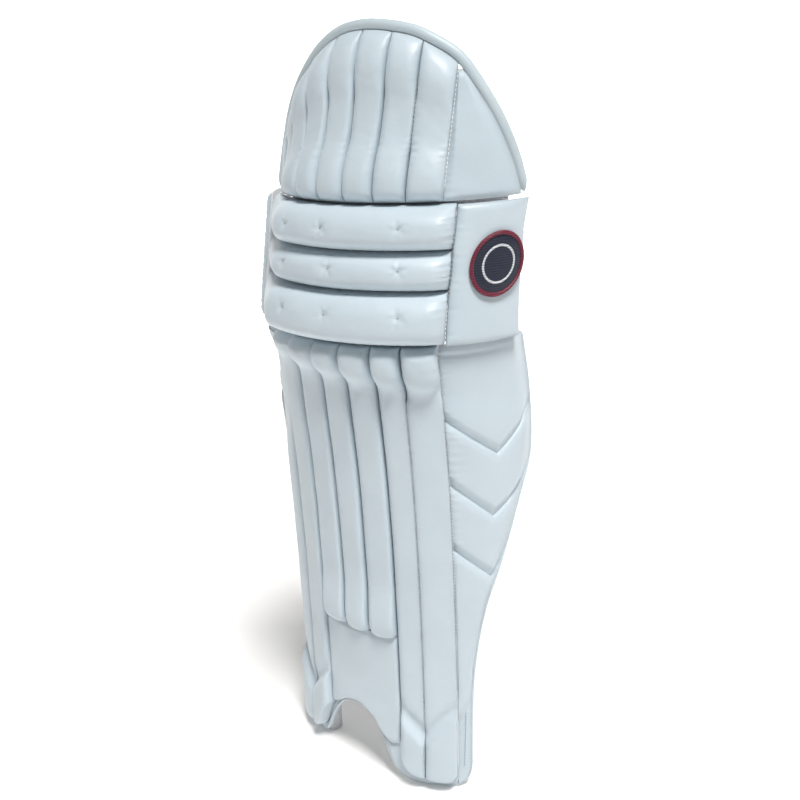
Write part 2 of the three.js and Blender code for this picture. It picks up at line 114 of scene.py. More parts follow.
# ---- the pad's curved surface ----
def smooth(knots, x):
    """A smooth curve through knots (x, value), with the slope at each knot taken from its neighbours."""
    xs, ys = np.array(knots, float).T
    ahead, behind = np.minimum(np.arange(len(xs)) + 1, len(xs) - 1), np.maximum(np.arange(len(xs)) - 1, 0)
    slope = (ys[ahead] - ys[behind]) / (xs[ahead] - xs[behind])
    held = np.clip(x, xs[0], xs[-1])
    i = np.clip(np.searchsorted(xs, held, side="right") - 1, 0, len(xs) - 2)
    width = xs[i + 1] - xs[i]
    t = (held - xs[i]) / width
    rise = t * t * (3 - 2 * t)
    bend = t * (1 - t) ** 2 * width * slope[i] + t * t * (t - 1) * width * slope[i + 1]
    return ys[i] * (1 - rise) + ys[i + 1] * rise + bend


def turn_at(s):
    """The angle in plan between the surface's outward normal and straight ahead, at girth s."""
    girth = np.abs(s)
    return np.minimum(girth, FRONT_GIRTH) / FRONT_RADIUS + np.maximum(0, girth - FRONT_GIRTH) / WING_RADIUS


def on_pad(s, z, h):
    """Points at girth s, height z and lift h, in metres in the row frame."""
    s, z, h = np.broadcast_arrays(*(np.asarray(a, float) for a in (s, z, h)))
    front = np.minimum(np.abs(s), FRONT_GIRTH) / FRONT_RADIUS
    turn = turn_at(s)
    x = FRONT_RADIUS * np.sin(front) + WING_RADIUS * (np.sin(turn) - np.sin(front)) + h * np.sin(turn)
    y = FRONT_RADIUS * (1 - np.cos(front)) + WING_RADIUS * (np.cos(front) - np.cos(turn)) - h * np.cos(turn)
    side = np.where(s < 0, -1, 1)
    places = (side * x - ORIGIN_IN_PLAN[0], y + smooth(PROFILE, z) - ORIGIN_IN_PLAN[1], z)
    return np.stack(places, -1) * MM


def outward(s):
    """The surface's outward normal at girth s."""
    s = np.asarray(s, float)
    turn = turn_at(s)
    return np.stack([np.where(s < 0, -1, 1) * np.sin(turn), -np.cos(turn), np.zeros_like(s)], -1)


def mix(a, b, t):
    return a + (b - a) * t


def step(low, high, x):
    """0 below low, 1 above high, and a smooth rise between them."""
    t = np.clip((x - low) / (high - low), 0, 1)
    return t * t * (3 - 2 * t)


def dome(t):
    return np.sqrt(np.maximum(0, 1 - np.square(t)))


def wander(a, b, wavelength, seed):
    """Smooth unevenness from -1 to 1 over the plane of a and b, the same each run."""
    draw = np.random.default_rng(seed)
    total = 0
    for _ in range(WAVES):
        angle, phase = draw.uniform(0, 2 * math.pi, 2)
        turns = 2 * math.pi * draw.uniform(0.7, 1.5) / wavelength
        total = total + np.sin(turns * (a * math.cos(angle) + b * math.sin(angle)) + phase)
    return total / WAVES


WAVES = 7


# ---- outlines ----
def inset_foot(s, inset):
    """Height of a line that keeps the distance inset from the bottom edge."""
    slope = (smooth(BOTTOM_EDGE, s + 1) - smooth(BOTTOM_EDGE, s - 1)) / 2
    return smooth(BOTTOM_EDGE, s) + inset * np.minimum(4, np.hypot(1, slope))


def top_edge(s, inset=PIPING + 2 * GAP):
    """Height of a panel's top edge, held back from the centre of the piping."""
    slope = (smooth(TOP_EDGE, s + 1) - smooth(TOP_EDGE, s - 1)) / 2
    return smooth(TOP_EDGE, s) - inset * np.hypot(1, slope)


def top_wing_edge(side, z, inset=PIPING + 2 * GAP):
    """Girth of a top wing's rear edge at height z, on the inner (-1) or outer (+1) side."""
    half = sorted((height, side * s) for s, height in TOP_EDGE if side * s > 60)
    slope = (smooth(half, z + 1) - smooth(half, z - 1)) / 2
    return smooth(half, z) - inset * np.hypot(1, slope)


# ---- meshes ----
def grid_faces(rows, columns, first=0, flip=False):
    """Quads of a grid stored row by row. They face a viewer who sees rows rise and columns run right."""
    at = first + np.arange(rows * columns).reshape(rows, columns)
    quads = np.stack([at[:-1, :-1], at[:-1, 1:], at[1:, 1:], at[1:, :-1]], -1).reshape(-1, 4)
    return (quads[:, ::-1] if flip else quads).tolist()


def rim_loop(rows, columns, first=0):
    """The rim's vertices in order, from the bottom left, anticlockwise."""
    at = first + np.arange(rows * columns).reshape(rows, columns)
    return np.concatenate([at[0, :-1], at[:-1, -1], at[-1, :0:-1], at[:0:-1, 0]])


def new_mesh(name, points, faces, sharp=50):
    mesh = bpy.data.meshes.new(name)
    mesh.from_pydata([tuple(p) for p in np.asarray(points, float).reshape(-1, 3)], [], faces)
    mesh.update()
    mesh.polygons.foreach_set("use_smooth", [True] * len(mesh.polygons))
    mesh.set_sharp_from_angle(angle=math.radians(sharp))
    piece = bpy.data.objects.new(name, mesh)
    bpy.context.scene.collection.objects.link(piece)
    return piece


def write_attribute(piece, name, values, kind="FLOAT"):
    attribute = piece.data.attributes.new(name, kind, "POINT")
    field = "value" if kind == "FLOAT" else "vector"
    attribute.data.foreach_set(field, np.asarray(values, np.float32).ravel())


def finer(grid):
    """A grid with a row and a column added between each two, on a smooth surface through its points."""
    for axis in (0, 1):
        line = np.moveaxis(grid, axis, 0)
        ends = np.concatenate([2 * line[:1] - line[1:2], line, 2 * line[-1:] - line[-2:-1]])
        middles = (9 * (ends[1:-2] + ends[2:-1]) - ends[:-3] - ends[3:]) / 16
        made = np.empty((2 * len(line) - 1, *line.shape[1:]))
        made[::2], made[1::2] = line, middles
        grid = np.moveaxis(made, 0, axis)
    return grid


def reach_along(points):
    """How far along a line each of its points lies."""
    return np.concatenate([[0], np.linalg.norm(np.diff(points, axis=0), axis=1).cumsum()])


def ring_faces(rows, sides, first=0):
    """Quads between the rings of a tube, and the faces that close its two ends."""
    at = first + np.arange(rows * sides).reshape(rows, sides)
    after = np.roll(at, -1, axis=1)
    faces = np.stack([at[:-1], at[1:], after[1:], after[:-1]], -1).reshape(-1, 4).tolist()
    return faces + [at[0].tolist(), at[-1, ::-1].tolist()]


def write_over_pad(piece, *grids):
    """Stores each point's girth and height, in metres, for the woven and knitted finishes."""
    spread = [np.stack([a, b, 0 * a], -1).reshape(-1, 3) * MM for a, b in grids]
    write_attribute(piece, "over_pad", np.concatenate(spread), "FLOAT_VECTOR")


def halves(values):
    """A row of numbers with the middle of each two added."""
    made = np.empty(2 * len(values) - 1)
    made[::2], made[1::2] = values, (values[:-1] + values[1:]) / 2
    return made


def rim_distance(points):
    """For each point of a grid, about how far it lies from the grid's rim, in metres."""
    nearest = np.full(points.shape[:2], np.inf)
    for axis in (0, 1):
        gone = np.linalg.norm(np.diff(points, axis=axis), axis=-1).cumsum(axis=axis)
        start = np.zeros_like(np.take(gone, [0], axis=axis))
        reach = np.concatenate([start, gone], axis=axis)
        nearest = np.minimum(nearest, np.minimum(reach, np.take(reach, [-1], axis=axis) - reach))
    return nearest


# How far from a piece's rim the painted shade, with some grime, reaches along its seams.
SEAM_SHADE_REACH = 1.6 * MM


class Skin:
    """A padded piece. Its front skin is a grid that the cloth simulation moves, and a plain back closes it.

    u and v are the grid's columns and rows. place(u, v) gives (s, z, h) and back(u, v, s) the back's lift.
    detail(u, v, s, z) is lift added after the simulation, such as tufts and puckers. hold(u, v, s, z) is true
    where a seam holds the skin down. A flipped skin faces the leg, or has columns that run the other way.
    """

    def __init__(self, name, body, slot, u, v, place, back, finish, behind=None, flip=False,
                 swell=0.0, fill=0.7, detail=None, hold=None, replaces=None):
        self.name, self.body, self.slot, self.flip = name + "_soft", body, slot, flip
        self.u, self.v = np.asarray(u, float), np.asarray(v, float)
        self.place, self.back, self.detail, self.hold = place, back, detail, hold
        self.finish, self.behind, self.swell, self.fill = finish, behind or finish, swell, fill
        self.replaces = [name] if replaces is None else replaces
        self.moved = np.zeros((len(self.v), len(self.u), 3))
        SKINS.append(self)

    def grid(self, fine=False):
        u, v = (halves(self.u), halves(self.v)) if fine else (self.u, self.v)
        u, v = np.meshgrid(u, v)
        return u, v, *np.broadcast_arrays(*self.place(u, v))

    def build(self):
        u, v, s, z, h = self.grid(fine=True)
        lift = h + (self.detail(u, v, s, z) if self.detail else 0)
        front = on_pad(s, z, lift) + finer(self.moved)
        u, v, s_back, z_back, _ = self.grid()
        back = on_pad(s_back, z_back, self.back(u, v, s_back))
        piece = closed(self.name, front, back, self.flip)
        # Painted shade, with some grime: the leather is darkened near the rim of each front, where it meets the
        # seams.
        rim = np.exp(-rim_distance(front) / SEAM_SHADE_REACH)
        write_attribute(piece, "seam_shade", np.concatenate([rim.ravel(), np.zeros(s_back.size)]))
        write_over_pad(piece, (s, z), (s_back, z_back))
        fronts = (len(front) - 1) * (front.shape[1] - 1)
        finishes(piece, [self.finish, self.behind], fronts)
        dress(piece, self.body, self.replaces)
        return piece


SKINS = []


def level_back(lift):
    """A back that lies at one lift all over."""
    return lambda u, v, s: lift + 0 * u


def closed(name, front, back, flip=False, sharp=50):
    """A closed body from a front grid and a back grid that has every second row and column."""
    rows, columns = front.shape[:2]
    back_rows, back_columns = back.shape[:2]
    first = rows * columns
    faces = grid_faces(rows, columns, 0, flip) + grid_faces(back_rows, back_columns, first, not flip)
    fine, coarse = rim_loop(rows, columns), rim_loop(back_rows, back_columns, first)
    f0, f1, f2 = fine[::2], fine[1::2], np.roll(fine, -2)[::2]
    c0, c1 = coarse, np.roll(coarse, -1)
    for corners in ((f1, f0, c0), (f1, c0, c1), (f2, f1, c1)):
        side = np.stack(corners[::-1] if flip else corners, -1)
        faces += side.tolist()
    return new_mesh(name, np.concatenate([front.reshape(-1, 3), back.reshape(-1, 3)]), faces, sharp)


def finishes(piece, materials, fronts):
    """Gives the first faces the first material and the rest the second."""
    for material in materials:
        piece.data.materials.append(material)
    order = np.zeros(len(piece.data.polygons), int)
    order[fronts:] = len(materials) - 1
    piece.data.polygons.foreach_set("material_index", order)


def dress(piece, body, replaced=()):
    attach(piece, body)
    if replaced:
        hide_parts(*replaced)


# ---- cloth simulation of the padded skins ----
SWELL_FRAMES = 20
PRESSURE = 20
CLOTH_MASS = 0.05
STRETCH_STIFFNESS = 5
BENDING_STIFFNESS = 0.1

# The cloth shrinks by this share. It outweighs the pressure at the front of the rolls, which draws in slightly.
CLOTH_SHRINK = 0.26
CLOTH_QUALITY = 4

# The share of the simulated movement that the finished skin keeps.
SWELL_SHARE = 0.26


def as_cloth(skin):
    """A skin's front as a sheet of cloth, pinned round its rim and along its seams."""
    u, v, s, z, h = skin.grid()
    rows, columns = s.shape
    sheet = new_mesh(skin.name + "_cloth", on_pad(s, z, h), grid_faces(rows, columns, 0, skin.flip))
    held = np.zeros(s.shape, bool)
    held[[0, -1]] = held[:, [0, -1]] = True
    if skin.hold:
        held |= skin.hold(u, v, s, z)
    sheet.vertex_groups.new(name="held").add(np.flatnonzero(held).tolist(), 1.0, "REPLACE")
    cloth = sheet.modifiers.new("cloth", "CLOTH")
    settings = cloth.settings
    settings.quality = CLOTH_QUALITY
    settings.mass = CLOTH_MASS
    settings.tension_stiffness = settings.compression_stiffness = STRETCH_STIFFNESS
    settings.shear_stiffness = STRETCH_STIFFNESS / 2
    settings.bending_stiffness = BENDING_STIFFNESS
    settings.use_pressure = True
    settings.uniform_pressure_force = PRESSURE
    settings.shrink_min = CLOTH_SHRINK
    settings.vertex_group_mass = "held"
    settings.effector_weights.gravity = 0
    cloth.collision_settings.use_collision = False
    cloth.point_cache.frame_start, cloth.point_cache.frame_end = 1, SWELL_FRAMES
    return sheet


def swell(skins):
    """Simulates all the skins as cloth under pressure, and keeps a share of how far each point moved.

    The movement is limited to the skin's own swell before the share is taken.
    """
    scene = bpy.context.scene
    sheets = [as_cloth(skin) for skin in skins]
    for number in range(1, SWELL_FRAMES + 1):
        scene.frame_set(number)
    graph = bpy.context.evaluated_depsgraph_get()
    for skin, sheet in zip(skins, sheets):
        result = sheet.evaluated_get(graph).to_mesh()
        after = np.empty(len(result.vertices) * 3)
        result.vertices.foreach_get("co", after)
        before = np.empty_like(after)
        sheet.data.vertices.foreach_get("co", before)
        moved = (after - before).reshape(skin.moved.shape)
        length = np.linalg.norm(moved, axis=-1, keepdims=True)
        limit = skin.swell * MM
        skin.moved = SWELL_SHARE * moved * limit * np.tanh(length / limit) / np.maximum(length, 1e-9)
    for sheet in sheets:
        bpy.data.meshes.remove(sheet.data)
    scene.frame_set(1)


# ---- materials ----
class Finish:
    """A procedural material on one Principled shader, with short names for the nodes it needs."""

    def __init__(self, name, roughness=0.5, **sockets):
        self.material = bpy.data.materials.new(name)
        self.material.use_nodes = True
        self.nodes, self.links = self.material.node_tree.nodes, self.material.node_tree.links
        self.shader = self.nodes["Principled BSDF"]
        self.shader.inputs["Roughness"].default_value = roughness
        for socket, value in sockets.items():
            self.shader.inputs[socket.replace("_", " ")].default_value = value
        self.place = self.nodes.new("ShaderNodeTexCoord").outputs["Object"]

    def node(self, kind, **inputs):
        made = self.nodes.new(kind)
        for name, value in inputs.items():
            self.feed(made.inputs[name.replace("_", " ")], value)
        return made

    def feed(self, socket, value):
        if isinstance(value, bpy.types.NodeSocket):
            self.links.new(value, socket)
        else:
            socket.default_value = value

    def stretched(self, vector, scale):
        made = self.node("ShaderNodeMapping", Vector=vector)
        made.inputs["Scale"].default_value = scale
        return made.outputs[0]

    def noise(self, scale, vector=None, detail=3.0, rough=0.55):
        made = self.node("ShaderNodeTexNoise", Vector=vector or self.place, Scale=scale, Detail=detail,
                         Roughness=rough)
        return made.outputs["Fac"]

    def cells(self, scale, vector=None, feature="F1"):
        made = self.node("ShaderNodeTexVoronoi", Vector=vector or self.place, Scale=scale)
        made.feature = feature
        return made.outputs["Distance"]

    def ramp(self, value, low, high, start=0.0, end=1.0):
        made = self.node("ShaderNodeMapRange", Value=value)
        for name, number in (("From Min", low), ("From Max", high), ("To Min", start), ("To Max", end)):
            made.inputs[name].default_value = number
        return made.outputs[0]

    def maths(self, operation, a, b=0.0):
        made = self.nodes.new("ShaderNodeMath")
        made.operation = operation
        self.feed(made.inputs[0], a)
        self.feed(made.inputs[1], b)
        return made.outputs[0]

    def blend(self, share, a, b):
        made = self.nodes.new("ShaderNodeMix")
        made.data_type = "RGBA"
        for socket, value in ((made.inputs[0], share), (made.inputs[6], a), (made.inputs[7], b)):
            self.feed(socket, value)
        return made.outputs[2]

    def attribute(self, name):
        made = self.nodes.new("ShaderNodeAttribute")
        made.attribute_name = name
        return made

    def bump(self, height, strength, distance, normal=None):
        made = self.node("ShaderNodeBump", Height=height, Strength=strength, Distance=distance * MM)
        if normal:
            self.links.new(normal, made.inputs["Normal"])
        return made.outputs[0]

    def finish(self, colour=None, roughness=None, normal=None):
        for socket, value in (("Base Color", colour), ("Roughness", roughness), ("Normal", normal)):
            if value is not None:
                self.feed(self.shader.inputs[socket], value)
        return self.material


def leather(name, clean, shade, grain=1.0):
    """Soft coated leather: fine pebbled grain, faint stretch creases, and painted shade with some grime darkening
    it near its seams.
    """
    f = Finish(name, IOR=1.48, Coat_Weight=0.12, Coat_Roughness=0.32, Sheen_Weight=0.05)
    mottle = f.noise(14, detail=4)
    # Painted shade and grime: near each seam the colour is blended, unevenly, towards a darker copy of the
    # leather's tone.
    seam_shade_and_grime = f.attribute("seam_shade").outputs["Fac"]
    patchy_shade_and_grime = f.ramp(f.noise(60, detail=5), 0.35, 0.7)
    colour = f.blend(f.ramp(mottle, 0.3, 0.7), clean, shade)
    # The darker colour painted into the seams, for their shade and grime.
    grime_and_shade_colour = tuple(c * 0.55 for c in shade[:3]) + (1,)
    colour = f.blend(f.maths("MULTIPLY", seam_shade_and_grime, f.ramp(patchy_shade_and_grime, 0, 1, 0.35, 0.75)), colour, grime_and_shade_colour)
    pebbles = f.ramp(f.cells(900), 0.0, 0.6)
    pores = f.noise(2600, detail=2)
    creases = f.noise(1, f.stretched(f.place, (120, 120, 420)), detail=5, rough=0.6)
    broad = f.noise(75, detail=2)
    normal = f.bump(broad, 0.25, 1.6)
    normal = f.bump(creases, 0.22 * grain, 0.5, normal)
    normal = f.bump(pebbles, 0.35 * grain, 0.10, normal)
    normal = f.bump(pores, 0.25 * grain, 0.05, normal)
    rough = f.maths("ADD", f.ramp(mottle, 0.25, 0.75, 0.36, 0.48), f.ramp(pebbles, 0, 1, 0.0, 0.05))
    return f.finish(colour, rough, normal)


def knit(name, light, dark, pitch=1.4):
    """Brushed warp knit: small loops in upright ribs, with a soft nap."""
    f = Finish(name, roughness=0.9, Sheen_Weight=0.35, Sheen_Roughness=0.5)
    over = f.attribute("over_pad").outputs["Vector"]
    loops = f.stretched(over, (1000 / pitch, 1400 / pitch, 1))
    cells = f.node("ShaderNodeTexVoronoi", Vector=loops, Scale=1.0, Randomness=0.35).outputs["Distance"]
    nap = f.noise(900, detail=4)
    worn = f.ramp(f.noise(18, detail=3), 0.3, 0.75)
    colour = f.blend(f.ramp(cells, 0.15, 0.75), light, dark)
    colour = f.blend(f.maths("MULTIPLY", worn, 0.25), colour, dark)
    normal = f.bump(f.ramp(cells, 0.0, 0.8, 1.0, 0.0), 0.7, 0.35)
    normal = f.bump(nap, 0.4, 0.25, normal)
    return f.finish(colour, f.ramp(nap, 0.2, 0.8, 0.82, 0.97), normal)


def woven(name, light, dark, pitch=1.7):
    """Flat webbing: a plain weave of thick yarns."""
    f = Finish(name, roughness=0.75, Sheen_Weight=0.2)
    over = f.attribute("over_pad").outputs["Vector"]
    sides = []
    for axis in ("X", "Y"):
        wave = f.node("ShaderNodeTexWave", Vector=over, Scale=1000 / pitch / 10, Distortion=0.25)
        wave.bands_direction = axis
        wave.inputs["Detail"].default_value = 1
        sides.append(wave.outputs["Fac"])
    weave = f.maths("MULTIPLY", sides[0], sides[1])
    fuzz = f.noise(1500, detail=3)
    colour = f.blend(f.ramp(weave, 0.0, 0.7), dark, light)
    colour = f.blend(f.ramp(f.noise(25), 0.4, 0.8, 0, 0.3), colour, dark)
    normal = f.bump(weave, 0.8, 0.4)
    normal = f.bump(fuzz, 0.3, 0.15, normal)
    return f.finish(colour, f.ramp(fuzz, 0.2, 0.8, 0.68, 0.85), normal)


def napped(name, light, dark):
    """Hook-and-loop tape: dense stiff nap."""
    f = Finish(name, roughness=0.95, Sheen_Weight=0.3)
    tufts = f.cells(1400)
    fuzz = f.noise(2200, detail=5)
    colour = f.blend(f.ramp(tufts, 0.1, 0.7), light, dark)
    colour = f.blend(f.ramp(fuzz, 0.35, 0.75), colour, dark)
    normal = f.bump(tufts, 0.9, 0.5)
    normal = f.bump(fuzz, 0.6, 0.3, normal)
    return f.finish(colour, f.ramp(fuzz, 0.2, 0.8, 0.88, 1.0), normal)


def threads(name, colour, dark):
    """Twisted sewing thread."""
    f = Finish(name, roughness=0.6, Sheen_Weight=0.2)
    twist = f.noise(1800, detail=2)
    shade = f.blend(f.ramp(twist, 0.3, 0.7), colour, dark)
    return f.finish(shade, f.ramp(twist, 0.2, 0.8, 0.5, 0.75), f.bump(twist, 0.6, 0.12))


def cane_wood(name):
    """Split cane: long straight fibres, with darker streaks."""
    f = Finish(name, roughness=0.55)
    fibres = f.noise(1, f.stretched(f.place, (900, 900, 14)), detail=6)
    streaks = f.noise(1, f.stretched(f.place, (220, 220, 5)), detail=3)
    colour = f.blend(f.ramp(fibres, 0.3, 0.7), (0.62, 0.44, 0.22, 1), (0.38, 0.24, 0.10, 1))
    colour = f.blend(f.ramp(streaks, 0.55, 0.8), colour, (0.25, 0.14, 0.06, 1))
    return f.finish(colour, f.ramp(fibres, 0.2, 0.8, 0.45, 0.7), f.bump(fibres, 0.5, 0.3))


def embroidered(name, colour, dark):
    """Dense satin stitching in one thread colour."""
    f = Finish(name, roughness=0.5, Sheen_Weight=0.15)
    rows = f.node("ShaderNodeTexWave", Vector=f.place, Scale=160.0, Distortion=1.2)
    rows.bands_direction = "Z"
    wear = f.noise(300, detail=4)
    shade = f.blend(f.ramp(rows.outputs["Fac"], 0.1, 0.9), dark, colour)
    shade = f.blend(f.ramp(wear, 0.5, 0.8, 0, 0.4), shade, dark)
    return f.finish(shade, f.ramp(wear, 0.3, 0.7, 0.42, 0.6), f.bump(rows.outputs["Fac"], 0.5, 0.2))


COVER = leather("cover_leather", (0.60, 0.685, 0.745, 1), (0.555, 0.64, 0.70, 1))
TRIM = leather("trim_leather", (0.60, 0.69, 0.735, 1), (0.53, 0.615, 0.66, 1), grain=1.4)
LINING = knit("lining_knit", (0.80, 0.81, 0.83, 1), (0.55, 0.57, 0.60, 1))
BOARD = knit("backing_cloth", (0.72, 0.74, 0.77, 1), (0.50, 0.52, 0.56, 1), pitch=2.2)
WEBBING = woven("strap_webbing", (0.82, 0.83, 0.85, 1), (0.50, 0.52, 0.55, 1))
HOOKS = napped("hook_tape", (0.50, 0.51, 0.54, 1), (0.28, 0.29, 0.31, 1))
THREAD = threads("sewing_thread", (0.55, 0.60, 0.63, 1), (0.30, 0.33, 0.36, 1))
CANE = cane_wood("split_cane")
NAVY = embroidered("navy_stitching", (0.016, 0.022, 0.05, 1), (0.006, 0.009, 0.02, 1))
MAROON = embroidered("maroon_stitching", (0.22, 0.012, 0.045, 1), (0.09, 0.004, 0.015, 1))
PALE = embroidered("pale_stitching", (0.75, 0.77, 0.80, 1), (0.45, 0.47, 0.5, 1))


# ---- the camera, placed so that the pad fills the picture as it does in the photograph ----
CAMERA_AZIMUTH, CAMERA_PITCH, CAMERA_ROLL = 41.64, 19.36, -3.5
CAMERA_DISTANCE = 800
SENSOR = 36
LENS = 43.58
AIM_HEIGHT = 502.2
AIM_OFFSET = (-66.7, 110.0)


def make_camera():
    azimuth, pitch, roll = (math.radians(a) for a in (CAMERA_AZIMUTH, CAMERA_PITCH, CAMERA_ROLL))
    level = math.cos(pitch)
    back = np.array([math.sin(azimuth) * level, -math.cos(azimuth) * level, math.sin(pitch)])
    right = np.array([math.cos(azimuth), math.sin(azimuth), 0])
    up = np.cross(back, right)
    across = right * math.cos(roll) + up * math.sin(roll)
    rise = up * math.cos(roll) - right * math.sin(roll)
    aim = np.array([-ORIGIN_IN_PLAN[0], -ORIGIN_IN_PLAN[1], AIM_HEIGHT])
    eye = aim + back * CAMERA_DISTANCE - across * AIM_OFFSET[0] - rise * AIM_OFFSET[1]
    lens = bpy.data.cameras.new("camera")
    lens.lens, lens.sensor_width = LENS, SENSOR
    lens.clip_start, lens.clip_end = 0.05, 20
    camera = bpy.data.objects.new("camera", lens)
    placed = Matrix(np.column_stack([across, rise, back, eye * MM]).tolist())
    camera.matrix_world = placed.to_4x4()
    bpy.context.scene.collection.objects.link(camera)
    bpy.context.scene.camera = camera


# ---- bolsters ----
def across_section(theta, power):
    """Where a rounded section lies across, from -1 to 1, and how high, from 0 to 1, at angle theta."""
    across = np.cos(theta)
    return -np.sign(across) * np.abs(across) ** (2 / power), np.maximum(0, np.sin(theta)) ** (2 / power)


def along_path(path, share):
    """Height and lift at a share of the length of a smooth path through (z, h) points."""
    points = np.array(path, float)
    reach = np.concatenate([[0], np.hypot(*np.diff(points, axis=0).T).cumsum()])
    return [smooth(np.stack([reach, axis], 1), share * reach[-1]) for axis in points.T]


def path_rows(path, spacing):
    length = np.hypot(*np.diff(np.array(path, float), axis=0).T).sum()
    return np.linspace(0, 1, int(length / spacing) + 1)


# A bolster's section, as places across from -1 to 1 and shares of its lift: the leather is drawn down over a
# round inner shoulder, runs flat, and turns in steeply at the outer seam.
SHAFT_SECTION = [
    (-1, 0), (-0.99, 0.2), (-0.93, 0.44), (-0.82, 0.68), (-0.66, 0.87), (-0.46, 0.98), (-0.1, 1), (0.35, 1),
    (0.74, 0.97), (0.9, 0.87), (0.97, 0.64), (1, 0.32), (1, 0),
]
KNOB_SECTION = [
    (-1, 0), (-1, 0.28), (-0.95, 0.56), (-0.82, 0.79), (-0.55, 0.95), (0, 1), (0.5, 0.96), (0.8, 0.83), (0.95, 0.6),
    (1, 0.3), (1, 0),
]
BOLSTER_COLUMNS = np.linspace(0, 1, 21)
BOLSTER_SPACING = 4.0
SHAFT_LIFT = 9.6
KNOB_FOOT = 419
KNOB_STEP = 2.75
KNOB_LIFTS = (9.5, 15, 18.5, 20, 20.5, 20.5, 20.5)
KNOB_RISE = 8
BULB_TOP = 52
BULB_SLOPE = 1.05
BULB_EXTRA = 4.6
BULB_DIP = 3.4
FOOT_BLEND = 60
FLUSH_SEAM = 8.6
WING_SEAM = 7.4

# The lower edge of the bulbs and of the instep panel, inside the flat flange round the lobes.
COVER_FOOT = [
    (-106, 22), (-100, 13), (-91, 9.5), (-74, 11), (-62, 14), (-54, 22), (-48, 34), (-42, 46), (-37, 55), (-25, 63),
    (-14, 70), (0, 73), (12, 69.5), (21, 61.5), (28, 51), (34, 44), (40, 41), (46, 42), (49, 40), (53, 27),
    (57, 19.5), (64, 14.5), (74, 12), (91, 9.5), (98, 11), (103, 17),
]


def blended_section(u, share, first=SHAFT_SECTION, second=KNOB_SECTION):
    """Place across and share of lift at u, part of the way from the first section to the second."""
    return (mix(a, b, share) for a, b in zip(along_path(first, u), along_path(second, u)))


def seam_line(k, seams, z):
    """Girth of a seam at height z: sewn by hand, it wanders a little."""
    return seams[k] + 0.4 * wander(z, 0 * z, 130, 40 + k)


def bulb_shape(s, z, short):
    """What the lobes' bulbs add to a bolster's lift: fuller below a V over their seam, with a dip above it."""
    if short:
        return 0
    middle = np.where(s < 0, -SHIN_SEAMS[1], SHIN_SEAMS[6])
    above = z - BULB_TOP - BULB_SLOPE * np.abs(np.abs(s) - middle)
    return BULB_EXTRA * (1 - step(-3, 7, above)) - BULB_DIP * np.exp(-((above - 10) / 9) ** 2)


def shin_bolster(k):
    short = 2 <= k <= 4
    knob = KNOB_FOOT - KNOB_STEP * (k - 2)
    full = KNOB_LIFTS[k]
    shaft = min(SHAFT_LIFT, full - 4)
    rise = full - shaft
    neck = [(knob - 50, shaft), (knob - 18, shaft - 0.5), (knob - 10, shaft + 0.03 * rise)]
    swelling = [(knob - 5, shaft + 0.25 * rise), (knob - 1.5, shaft + 0.58 * rise), (knob + 3, shaft + 0.87 * rise)]
    crown = [(knob + 9, full), (SHIN_TOP - 8, full - 0.6), (SHIN_TOP - 2.5, full - 4.5), (SHIN_TOP, full - 9)]
    top = neck + swelling + crown + [(SHIN_TOP, 1.5)]
    foot = [(0, 1.2), (-0.4, 5), (2.5, 9.5), (9, 12.4), (20, 13)]
    if short:
        foot = [(INSTEP_TOP + z, h) for z, h in foot]
        foot += [(INSTEP_TOP + 34, 11.6), (INSTEP_TOP + 50, SHAFT_LIFT)]
    else:
        foot = [(0, 1.2), (0, 3), (2, 6.6), (7, 9.4), (20, SHAFT_LIFT), (FOOT_BLEND, SHAFT_LIFT)]
    path = foot + [(z, SHAFT_LIFT) for z in (220, 300)] + top
    flush = (FLUSH_SEAM if k == 6 else 1.4, {5: FLUSH_SEAM, 6: WING_SEAM}.get(k, 1.4))

    def place(u, v):
        z, h = along_path(path, v)
        pillow = np.maximum(step(knob - 16, knob - 4, z), (1 - step(20, 60, z)) * (not short))
        t, lift = blended_section(u, pillow)
        low, high = (seam_line(k + i, SHIN_SEAMS, z) + (0.5 - i) * GAP for i in (0, 1))
        s = mix(low, high, (t + 1) / 2)
        beside_knob = step(knob - 26, knob - 6, z) * (1 - step(knob, SHIN_TOP - 6, z))
        z = z + KNOB_RISE * (1 - dome(0.97 * t)) * beside_knob
        if short:
            z = z + 5 * (1 - dome(t)) * (1 - step(INSTEP_TOP, INSTEP_TOP + 40, z))
        else:
            z = np.where(z < FOOT_BLEND, mix(smooth(COVER_FOOT, s), FOOT_BLEND, z / FOOT_BLEND), z)
        h = h + bulb_shape(s, z, short) * step(1, 8, h)
        joined = 1 - step(knob - 20, knob - 6, z)
        rim = np.minimum(0.86 * h, 1.4 + (mix(*flush, (t + 1) / 2) - 1.4) * joined)
        uneven = 0.45 * wander(s, z, 70, 7) * step(2, 8, h)
        return s, z, rim + (h + uneven - rim) * lift

    def back(u, v, s):
        t = along_path(SHAFT_SECTION, u)[0]
        return np.where(np.abs(t) < 0.5, CHANNEL_DEPTH, 0.4) * np.clip(np.minimum(v, 1 - v) * 60, 0.2, 1)

    def detail(u, v, s, z):
        t = along_path(SHAFT_SECTION, u)[0]
        near_top = step(knob + 2, SHIN_TOP - 12, z)
        puckers = 0.4 * wander(s, 2.2 * z, 13, 90 + k) * (near_top * 0.9 + 0.12)
        edge = step(0.45, 0.95, np.abs(t)) * (1 - step(0.95, 1, np.abs(t)))
        return puckers + 0.18 * edge * np.sin(z * 0.9 + 2 * np.sin(z * 0.11 + k))

    rows = path_rows(path, BOLSTER_SPACING)
    Skin(f"shin_bolster_{k + 1}", SHIN, "cover", BOLSTER_COLUMNS, rows, place, back, COVER, swell=2.4, fill=0.8,
         detail=detail)


THIGH_LIFTS = [
    (0, 2), (0.02, 8), (0.07, 13.5), (0.17, 15.6), (0.27, 13.8), (0.38, 9.8), (0.5, 8.6), (0.62, 9.2), (0.72, 12),
    (0.81, 13.6), (0.9, 12), (0.97, 7.5), (1, 2.5),
]


